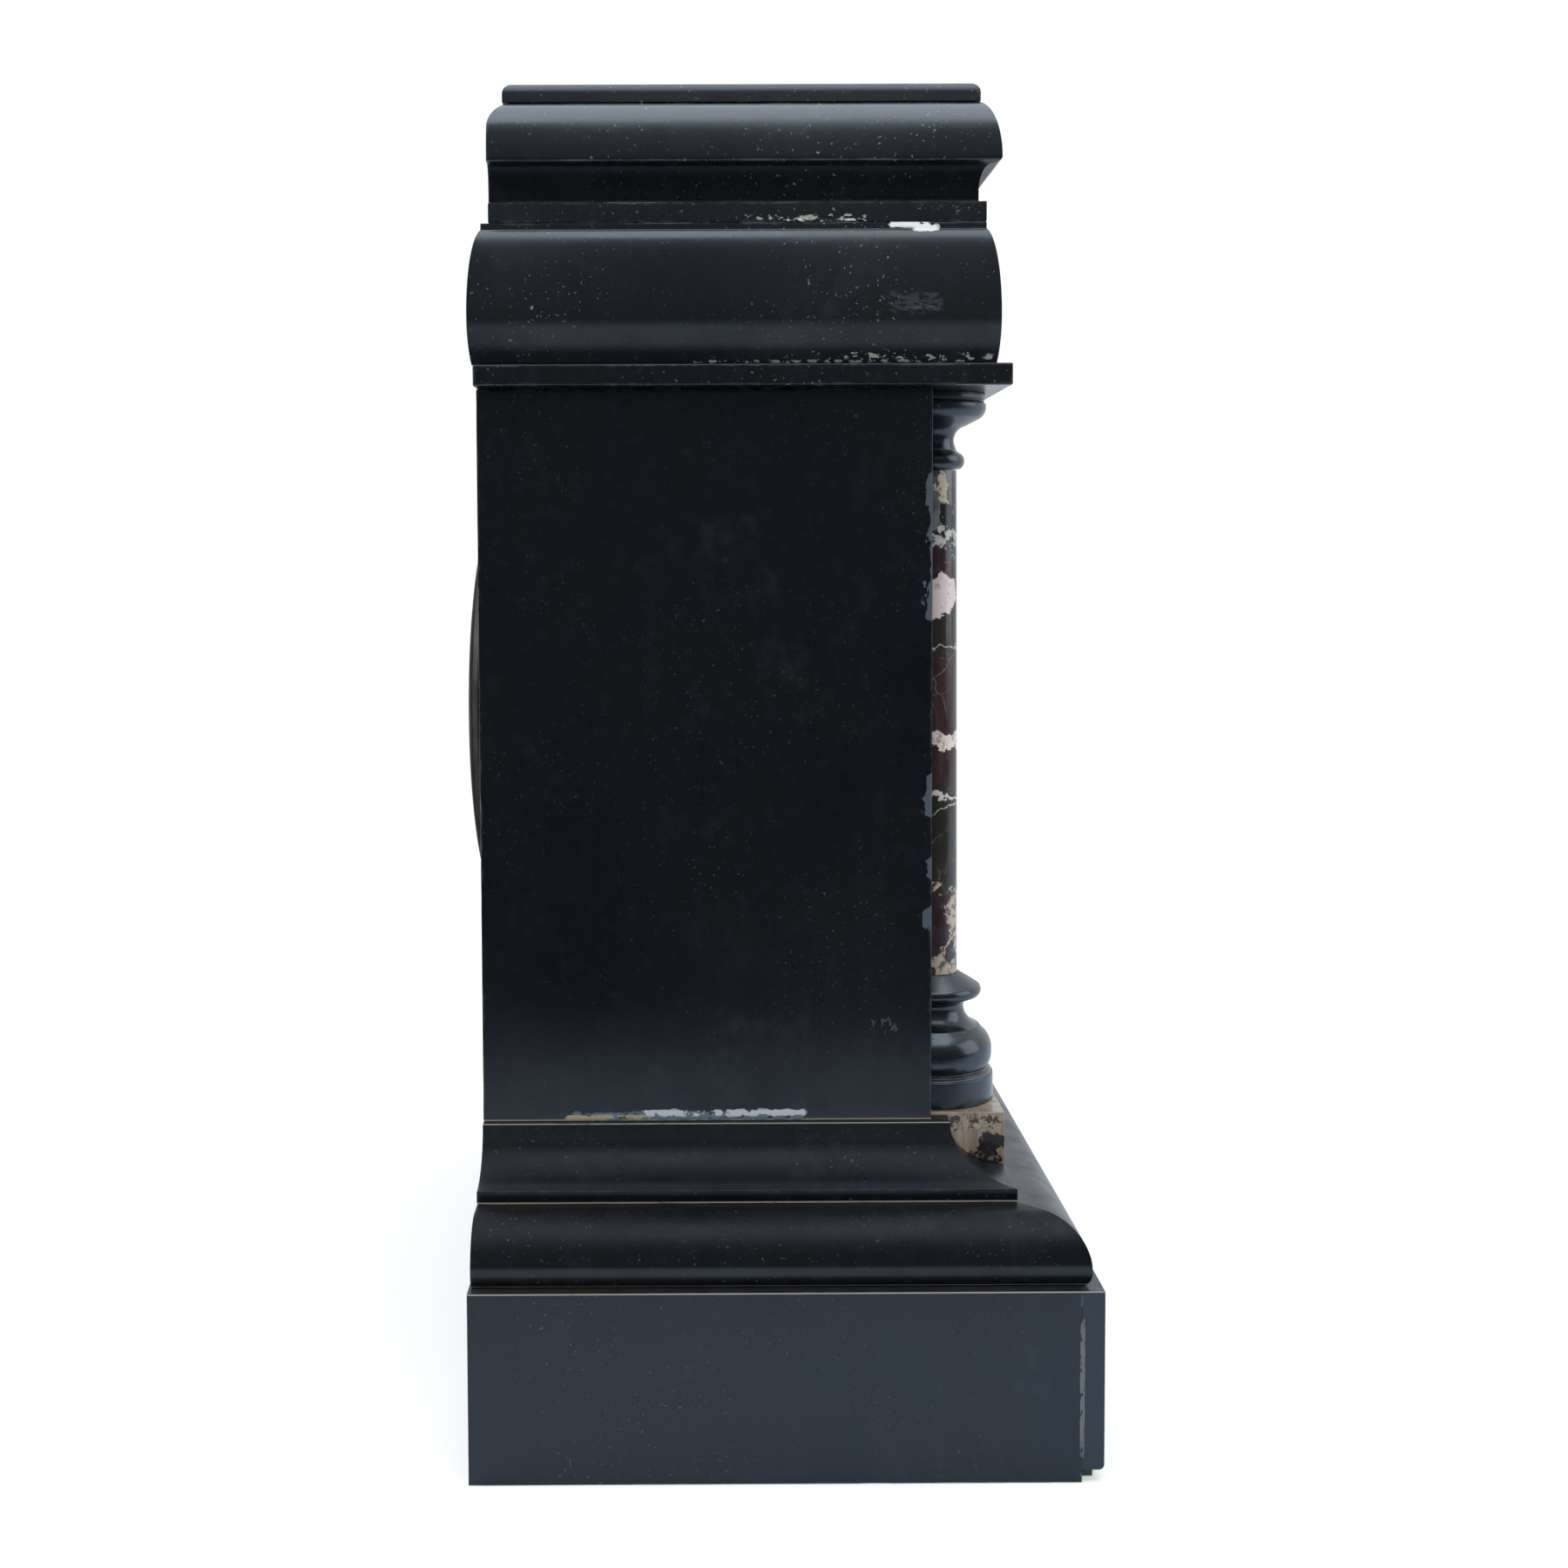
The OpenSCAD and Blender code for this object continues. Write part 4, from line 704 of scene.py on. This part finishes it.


# The case. Marks, runs and haze (painted highlights and painted reflection) are laid out as slate() says
FLAT = (160, 260, 420)
PANEL_MARKS = [
    (28, 34, 94.4, 1.8, (0.10, 0.14, 0.18), 0.42, FLAT),
    (18, 25, 95.4, 1.4, (0.46, 0.49, 0.53), 0.46, FLAT),
    (52, 12, 94.2, 1.0, (0.34, 0.27, 0.17), 0.45, FLAT),
    (-32, 3, 122, 3, (0.05, 0.055, 0.06), 0.52, (700, 900, 260)),
]
PANEL_RUNS = [(267, 21, 1.9), (251, 5, 3.2), (192, 5, 3.0), (170, 2, 1.9), (154, 3, 2.2)]
FRIEZE_MARKS = [
    (-14, 40, 321.4, 0.6, (0.22, 0.21, 0.19), 0.50, (160, 330, 500)),
    (-42, 22, 322.8, 1.8, (0.30, 0.28, 0.24), 0.55, (420, 420, 700)),
    (-38.8, 5.2, 361.9, 1.3, (0.84, 0.84, 0.83), 0.38, (260, 210, 420)),
    (-43.6, 2.6, 360.6, 1.3, (0.84, 0.84, 0.83), 0.40, (260, 330, 420)),
    (-40, 7, 338.4, 4.0, (0.014, 0.017, 0.021), 0.46, (900, 420, 900)),
    (-43, 5, 337.4, 1.8, (0.050, 0.054, 0.060), 0.58, (700, 300, 1500)),
]
# Painted highlight: a soft lighter band low on the frieze's bulge
FRIEZE_PAINTED_HIGHLIGHT = [(328.9, 1.6, 3.6, 0.55)]
# Painted highlights: a soft band at the cavetto's top and thin lines near the lower edges of the cavetto and
# ovolo
BASE_PAINTED_HIGHLIGHTS = [(91.0, 2.2, 2.5, 0.16), (77.7, 0.5, 0.9, 0.30), (60.3, 0.7, 1.1, 0.55)]
# Painted reflection: the side panels lighter towards the bottom
PANEL_PAINTED_REFLECTION = [(96, 6, 30, 0.30)]
CROWN_MARKS = [
    (-8, 17, 364.0, 1.3, (0.34, 0.31, 0.25), 0.57, (300, 420, 900)),
    (-14, 14, 363.1, 0.6, (0.60, 0.58, 0.52), 0.54, (300, 420, 620)),
    (-50, 9, 366.2, 2.4, (0.20, 0.20, 0.20), 0.61, (900, 900, 1300)),
    (-57, 4, 374, 8, (0.10, 0.10, 0.10), 0.57, (900, 900, 900)),
]
JOINT = [(FRONT + FRONT_SLAB, 0.45, 28, 26, (0.15, 0.155, 0.165), 0.40, (300, 800, 260))]


def ovolo_outline(w):
    run, h, foot, low = 12.6, 18.5, 2.4, 4.5
    return ease([(-w, 0)] + arc(-foot, low, foot, low, -90, 0, 8) + arc(-run, low, run, h - low, 8, 90, 24)
        + [(-w, h)], 0.35)


def cavetto_outline(w):
    run, h, fillet = 17.5, 19, 4
    return ease([(-w, 0), (0, 0)] + arc(0, h - 1, run, h - 1 - fillet, 270, 180, 24)
        + [(-run, h), (-w, h)], 0.3)


def frieze_outline(w):
    bulge, low, fall, h, neck = 4.7, 14.5, 21, 42, 1.8
    return ease([(-w, 0)] + arc(-bulge, low, bulge, fall, -math.degrees(math.asin(low / fall)), 0, 12)
        + arc(-bulge, low, bulge, h - neck - low, 3, 80, 24) + [(-4, h - neck), (-4, h), (-w, h)], 0.3)


def crown_outline(w):
    lip, h = 17, 35.4
    return ease([(-w, 0), (-4, 0), (-4, 6), (-6.1, 6)] + arc(-2.7, 9.5, 3.4, lip - 9.7, 180, 100, 12)
        + [(-0.9, lip), (-0.2, lip + 0.4)] + arc(-7, lip + 1, 7, h - lip - 1, 0, 90, 28) + [(-w, h)], 0.3)


def build_plinth(finish):
    """Four slabs that butt, the front one a little short at the foot, where its edge is round."""
    split, r = FRONT + FRONT_SLAB, 1.6
    outline = ease([(split, PLINTH), (FRONT, PLINTH)] + arc(FRONT + r, FELT + r, r, r, 180, 270, 8)
        + [(split, FELT)], 0.3)
    bm = sweep(outline, lambda u, h, s: (s, u, h), lambda u: -HALF_W, lambda u: HALF_W, 3, (True, True), 0.05,
        0.08)
    link("plinth_face", mesh_of(bm, "plinth_face"), finish["plinth_end"], ["plinth_front"])
    for sign, side in ((1, "right"), (-1, "left")):
        lo, hi = sorted((sign * (HALF_W - SLAB), sign * HALF_W))
        slab("plinth_end_" + side, (lo, split, 0), (hi, -FRONT, PLINTH), finish["plinth"], ["plinth_" + side],
            "y", r=0.08, worn=0.05, step=2.5)
    slab("plinth_rear", (-HALF_W + SLAB, -FRONT - SLAB, 0), (HALF_W - SLAB, -FRONT, PLINTH), finish["plinth"],
        ["plinth_back"], "x")


def build_base(finish):
    for name, outline, inset, z in (("ovolo", ovolo_outline, OVOLO_IN, PLINTH),
            ("cavetto", cavetto_outline, CAVETTO_IN, OVOLO)):
        x, y = HALF_W - inset, FRONT + inset
        bm = front_bar(outline(BASE_Y - y), x, y, z)
        link(name + "_face", mesh_of(bm, name), finish["front_face"], [name + "_front"])
        bm = side_bars(outline(x - BASE_X), x, y, z, BACK)
        link(name + "_ends", mesh_of(bm, name), finish["waxed"], [name + "_sides"])
    slab("base_rear", (-BASE_X, BACK - SLAB, PLINTH), (BASE_X, BACK, BODY), finish["waxed"], ["base_back"],
        "x")


def build_body(finish):
    for sign, side in ((1, "right"), (-1, "left")):
        lo, hi = sorted((sign * (BODY_X - SIDE_PANEL), sign * BODY_X))
        slab("panel_" + side, (lo, BODY_FRONT, BODY), (hi, BACK, PLATE), finish["smeared"],
            ["side_panel_" + side], "z", r=0.35)
    cad_copy("front_panel", finish["plain"])
    cad_copy("back_panel", finish["plain"])
    slab("cornice_slab", (-PLATE_X, PLATE_Y, PLATE), (PLATE_X, BACK, FRIEZE), finish["plain"],
        ["cornice_plate"], "x", r=0.6, worn=0.25)


def build_top(finish):
    """Frieze, crown and top slab."""
    outline = frieze_outline(BAR)
    for name, bm, node in (
            ("frieze_face", front_bar(outline, FRIEZE_X, FRIEZE_Y, FRIEZE), "frieze_front"),
            ("frieze_rear", front_bar(outline, FRIEZE_X, FRIEZE_BACK, FRIEZE, sign=-1), "frieze_back"),
            ("frieze_ends", side_bars(outline, FRIEZE_X, FRIEZE_Y, FRIEZE, FRIEZE_BACK, mitred=True),
                "frieze_sides")):
        link(name, mesh_of(bm, "frieze"), finish["chipped"], [node])
    outline = crown_outline(BAR)
    for name, bm, node in (("crown_face", front_bar(outline, FRIEZE_X, FRIEZE_Y, CROWN), "crown_front"),
            ("crown_ends", rounded_bars(outline), "crown_sides")):
        bar = link(name, mesh_of(bm, "crown"), finish["crown"], [node])
        finish_between(bar, finish["cove"], CROWN + CROWN_COVE[0], CROWN + CROWN_COVE[1])
    slab("crown_rear", (-FRIEZE_X + BAR, CROWN_BACK - SLAB, CROWN), (FRIEZE_X - BAR, CROWN_BACK, CAP),
        finish["crown"], ["crown_back"], "x", r=1.5)
    cad_copy("top_slab", finish["dull"])


def finish_between(obj, mat, low, high):
    """Gives another finish to the faces between two heights, such as a hollow that no cloth reaches."""
    faces_back = 0.9
    obj.data.materials.append(mat)
    for face in obj.data.polygons:
        if low * MM < face.center.z < high * MM and face.normal.y < faces_back:
            face.material_index = 1


def rounded_bars(outline):
    """The crown's end bars, whose rear top corner is rounded over by a fan of cuts."""
    r, cuts = CROWN_END_R, 9
    bm = side_bars(outline, FRIEZE_X, FRIEZE_Y, CROWN, CROWN_BACK)
    for k in range(cuts):
        a = math.radians(90 * (k + 0.5) / cuts)
        spot = Vector((0, CROWN_BACK - r + r * math.cos(a), CAP - r + r * math.sin(a))) * MM
        bmesh.ops.bisect_plane(bm, geom=bm.verts[:] + bm.edges[:] + bm.faces[:], plane_co=spot,
            plane_no=(0, math.cos(a), math.sin(a)), clear_outer=True)
        bmesh.ops.holes_fill(bm, edges=[e for e in bm.edges if e.is_boundary], sides=0)
    return bm


def foot_profile():
    """A drum, a torus, a scotia and a small bead."""
    drum, inner, torus, height = 19.0, 18.2, 10.6, 39.5
    profile = [(0, 0), (drum, 0), (drum, 8.2), (inner, 8.6), (inner, 9.4)]
    profile += arc(torus, 14.6, 8, 8, -35, 0, 10) + arc(torus, 15.4, 8, 8, 0, 52, 14)
    profile += arc(16.2, 29, 6.45, 6.3, 255, 180, 20) + arc(13.2, 28.9, 3.45, 2.9, 170, 100, 8)
    return profile + arc(13.2, 34, 2, 2.1, -80, 50, 14) + [(8.2, height), (0, height)]


def head_profile():
    """A bead, a bell that opens upwards and a flat rim."""
    rim, height = 15.8, 23.5
    profile = [(0, 0)] + arc(7.3, 2.9, 2.2, 2.6, -70, 70, 14) + [(7, 6.2)]
    profile += arc(10.9, 9.3, 4.7, 4.6, 200, 105, 14) + arc(12.1, 19.6, 4, 4.2, -60, 10, 14)
    return profile + [(15.1, 21.3), (rim, 21.6), (rim, height), (0, height)]


def shaft_profile():
    """A shaft that tapers, in enough steps for the lathe's shading."""
    low_r, taper, steps, height = 7.7, 0.6, 40, CAPITAL - SHAFT
    side = [(low_r - taper * i / steps, height * i / steps) for i in range(steps + 1)]
    return [(0, 0)] + side + [(0, height)]


def build_columns(polished, shaft, block):
    for name, profile, r, z, turns, worn, mat, slot, node in (
            ("column_foot", foot_profile(), 0.35, BLOCK_TOP, 112, 0.05, polished, "polished_slate",
                "column_bases"),
            ("column_head", head_profile(), 0.3, CAPITAL, 112, 0.05, polished, "polished_slate",
                "column_capitals"),
            ("column_body", shaft_profile(), 0.2, SHAFT, 96, 0.0, shaft, "marble", "column_shafts")):
        spots = [(sign * COLUMN_X, COLUMN_Y, z) for sign in (1, -1)]
        bm = lathe(ease(profile, r, closed=False), spots, turns, worn)
        link(name, mesh_of(bm, name), mat, [node])
    cad_copy("column_blocks", block)


# Dial
def glyph(ch):
    """Strokes of one Roman numeral letter, as four-cornered pieces, and its width. Height runs 0 to 1."""
    thick = 0.045

    def stroke(foot0, foot1, head1, head0):
        return [(foot0, 0), (foot1, 0), (head1, 1), (head0, 1)]

    def serif(x0, x1, top):
        z = 1 - thick if top else 0
        return [(x0, z), (x1, z), (x1, z + thick), (x0, z + thick)]

    if ch == "I":
        return [stroke(0.10, 0.26, 0.26, 0.10), serif(0, 0.36, False), serif(0, 0.36, True)], 0.38
    if ch == "V":
        return [stroke(0.32, 0.44, 0.24, 0.06), stroke(0.40, 0.45, 0.70, 0.64), serif(0, 0.32, True),
            serif(0.54, 0.80, True)], 0.80
    return [stroke(0.54, 0.72, 0.26, 0.08), stroke(0.10, 0.16, 0.66, 0.60), serif(0, 0.28, False),
        serif(0.48, 0.80, False), serif(0, 0.32, True), serif(0.50, 0.78, True)], 0.80


def prism(bm, corners, y0, y1):
    """A flat figure of (x, z) corners between two planes."""
    low = [bm.verts.new(Vector((x, y0, z)) * MM) for x, z in corners]
    high = [bm.verts.new(Vector((x, y1, z)) * MM) for x, z in corners]
    bm.faces.new(low)
    bm.faces.new(high[::-1])
    for i in range(len(corners)):
        j = (i + 1) % len(corners)
        bm.faces.new((low[i], low[j], high[j], high[i]))


def on_dial(r, a, x, y):
    """A point of a figure that stands at angle a from twelve, x across and y out from radius r."""
    c, s = math.cos(a), math.sin(a)
    return x * c + (r + y) * s, DIAL_Z - x * s + (r + y) * c


def turned_ring(bm, outline, cx, cz, turns):
    """A closed outline of (r, y) turned about a line along Y, with y measured from the dial's face."""
    rows = []
    for k in range(turns):
        a = 2 * math.pi * k / turns
        rows.append([bm.verts.new(Vector((cx + r * math.cos(a), DIAL_FACE + y, cz + r * math.sin(a))) * MM)
            for r, y in outline])
    for k in range(turns):
        a, b = rows[k], rows[(k + 1) % turns]
        for i in range(len(outline)):
            j = (i + 1) % len(outline)
            bm.faces.new((a[i], a[j], b[j], b[i]))


def numerals(bm, front, back):
    """The hours, each figure pressed narrower where it would be too wide."""
    height, foot, widest, layer_t = 9.6, 38.2, 1.75, 0.004
    for hour, text in enumerate(("XII", "I", "II", "III", "IIII", "V", "VI", "VII", "VIII", "IX", "X", "XI")):
        a = hour * math.pi / 6
        glyphs = [glyph(ch) for ch in text]
        whole = sum(width for _, width in glyphs)
        squeeze = min(1.0, widest / whole)
        x = -whole * squeeze / 2
        for strokes, width in glyphs:
            for layer, stroke in enumerate(strokes):
                corners = [on_dial(foot, a, (x + u * squeeze) * height, v * height) for u, v in stroke]
                prism(bm, corners, front - layer_t * layer, back)
            x += width * squeeze


def minute_track(bm, front, back):
    """Two circles with a line for each minute between them, wider at the hours, and one inside the hours."""
    inside, inner, outer, turns = (35.6, 35.9), (49.6, 49.85), (52.0, 52.25), 240
    hour_half, minute_half, proud = 0.42, 0.12, 0.003
    for r0, r1 in (inside, inner, outer):
        ring = [(r, y - DIAL_FACE) for r, y in ((r0, front), (r1, front), (r1, back), (r0, back))]
        turned_ring(bm, ring, 0, DIAL_Z, turns)
    for minute in range(60):
        a, half = minute * math.pi / 30, minute_half if minute % 5 else hour_half
        long = outer[0] - inner[1]
        line = ((-half, 0), (half, 0), (half, long), (-half, long))
        prism(bm, [on_dial(inner[1], a, x, y) for x, y in line], front - proud, back)


def build_dial(ink_mat, collet_mat):
    thick, sunk, centre = 0.06, 0.02, (4.1, 5.0)
    winding = (2.55, 3.7)
    bm = bmesh.new()
    numerals(bm, DIAL_FACE - thick, DIAL_FACE + sunk)
    minute_track(bm, DIAL_FACE - thick, DIAL_FACE + sunk)
    link("dial_marks", mesh_of(bm, "dial_marks"), ink_mat, weighted=False)
    # Collets in the winding holes and round the centre
    bm = bmesh.new()
    for x, drop, (r0, r1) in ((WINDING_X, WINDING_DROP, winding), (-WINDING_X, WINDING_DROP, winding),
            (0, 0, centre)):
        ring = [(r0, 0.5), (r0, -0.25), (r0 + 0.25, -0.42), (r1 - 0.35, -0.42), (r1, -0.05), (r1, sunk)]
        turned_ring(bm, ring, x, DIAL_Z - drop, 48)
    link("dial_collets", mesh_of(bm, "dial_collets"), collet_mat)


# Finishes and assembly
def slates():
    """The slate of each stretch of the case. They differ in polish, wear and marks, as in the photo."""
    return {
        "plain": slate("slate"),
        # haze below paints highlights and reflection on the side panels, the frieze and the base mouldings
        "smeared": slate("slate_panel", marks=PANEL_MARKS, runs=PANEL_RUNS, specks=0.25, haze=PANEL_PAINTED_REFLECTION),
        "chipped": slate("slate_frieze", marks=FRIEZE_MARKS, haze=FRIEZE_PAINTED_HIGHLIGHT, specks=1.1, shine=0.8),
        "crown": slate("slate_crown", marks=CROWN_MARKS, specks=1.1, shine=1.0),
        "cove": slate("slate_cove", polish=0.34, specks=0.6, shine=0.15),
        "waxed": slate("slate_base", polish=0.40, shine=0.18, lift=0.95, haze=BASE_PAINTED_HIGHLIGHTS, specks=0.5),
        # Painted light: lift 4.0 paints the top slab lighter
        "dull": slate("slate_top", polish=0.30, lift=4.0, specks=1.3),
        "front_face": slate("slate_front", polish=0.30, shine=0.4, haze=BASE_PAINTED_HIGHLIGHTS),
        # Painted light: lift paints the plinth's slabs lighter, and the front slab lighter still
        "plinth": slate("slate_plinth", polish=0.30, lift=2.1, marks=JOINT, specks=0.4),
        "plinth_end": slate("slate_plinth_front", polish=0.30, lift=4.8, marks=JOINT, specks=0.4),
        "polished": slate("slate_turned", polish=0.20, specks=0.3, shine=0.8),
    }


def shaft_marble():
    wine, olive = (0.030, 0.012, 0.013), (0.020, 0.019, 0.014)
    green, plum = (0.011, 0.014, 0.015), (0.040, 0.033, 0.043)
    cream, white, grey = (0.40, 0.33, 0.25), (0.62, 0.55, 0.51), (0.17, 0.165, 0.17)
    ground = [
        (200, 90, wine, (0.045, 0.026, 0.024)),
        (241, 5, olive, (0.030, 0.024, 0.020)),
        (176, 15, olive, (0.036, 0.032, 0.020)),
        (147, 10, plum, wine),
        (286, 5, grey, plum),
        (275, 8, grey, green),
    ]
    clasts = [
        (-53, 269, 5, 4.5, (0.42, 0.41, 0.39), green, 0.5),
        (-52, 277, 2.6, 3.4, green, grey, 0.1),
        (-55, 274.5, 3.2, 2.8, green, (0.03, 0.035, 0.035), 0.2),
        (-51, 285, 1.4, 4.5, (0.46, 0.41, 0.28), grey, 0.3),
        (-49.5, 263, 3.4, 4.6, wine, plum, 0.3),
        (-55.3, 264.5, 1.8, 3.2, (0.03, 0.04, 0.04), grey, 0.2),
        (-50.5, 252, 5.6, 6.6, (0.62, 0.52, 0.50), (0.42, 0.30, 0.28), 0.25),
        (-51, 206.5, 14, 2.6, white, (0.34, 0.24, 0.21), 0.35),
        (-49, 160.5, 2.4, 1.8, (0.42, 0.36, 0.28), wine, 0.5),
        (-56.5, 148, 3.6, 12, cream, (0.07, 0.06, 0.055), 0.45),
        (-54, 137.5, 4.4, 8, cream, (0.10, 0.09, 0.08), 0.45),
        (-53.6, 140.3, 2.5, 3.2, (0.030, 0.031, 0.034), grey, 0.1),
    ]
    threads = [(237.5, 0.02, 0.25), (196, 0.12, 0.7), (170, -0.3, 0.22)]
    return marble("marble_shaft", ground, clasts, threads, 0.35)


def block_marble():
    """Grey-cream, with mottles along its top edge and a black blotch on its front half."""
    ground = [(88, 30, (0.36, 0.29, 0.21), (0.22, 0.165, 0.12))]
    clasts = [
        (-60, 91, 9, 2.0, (0.34, 0.27, 0.20), (0.06, 0.045, 0.035), 0.55),
        (-64.5, 84.0, 4.0, 4.2, (0.016, 0.014, 0.013), (0.10, 0.08, 0.06), 0.1),
        (-61, 79.5, 9, 2.2, (0.020, 0.017, 0.015), (0.16, 0.12, 0.09), 0.35),
    ]
    return marble("marble_block", ground, clasts, crackle=0.15)


def metals():
    return {
        "gilt_brass": metal("gilt_brass", (0.80, 0.58, 0.25), (0.55, 0.36, 0.14), 0.16),
        "patinated_brass": metal("aged_brass", (0.090, 0.081, 0.079), (0.044, 0.040, 0.039), 0.34,
            edge=(0.22, 0.21, 0.21)),
        "clock_brass": metal("movement_brass", (0.76, 0.56, 0.27), (0.52, 0.34, 0.15), 0.24,
            (1400, 1400, 60)),
        "bell_metal": metal("bell_metal", (0.60, 0.52, 0.40), (0.38, 0.31, 0.22), 0.22),
        "steel": metal("grey_steel", (0.50, 0.51, 0.53), (0.25, 0.24, 0.23), 0.26),
        "blued_steel": metal("blued_steel", (0.030, 0.045, 0.14), (0.045, 0.025, 0.06), 0.2, spots=0),
    }


def paint(node, mat):
    """Gives a CAD node that is carried over its finish."""
    data = frame["nodes"][node].data
    data.materials.clear()
    data.materials.append(mat)


def main():
    make_camera()
    make_stage()
    case, shaft, brass_and_steel = slates(), shaft_marble(), metals()
    for build in (build_plinth, build_base, build_body, build_top):
        build(case)
    build_columns(case["polished"], shaft, block_marble())
    build_dial(ink(), brass_and_steel["gilt_brass"])
    for hand in ("hour_hand", "minute_hand"):
        cad_copy(hand, brass_and_steel["blued_steel"], hand, 0.12)
    finishes = {"felt": felt(), "board": board(), "enamel": enamel(), "glass": clear_glass(),
        "slate": case["plain"], "polished_slate": case["polished"], "marble": shaft, **brass_and_steel}
    for part in frame["record"]["subparts"]:
        paint(part["node"], finishes[part["material_slot"]])


main()
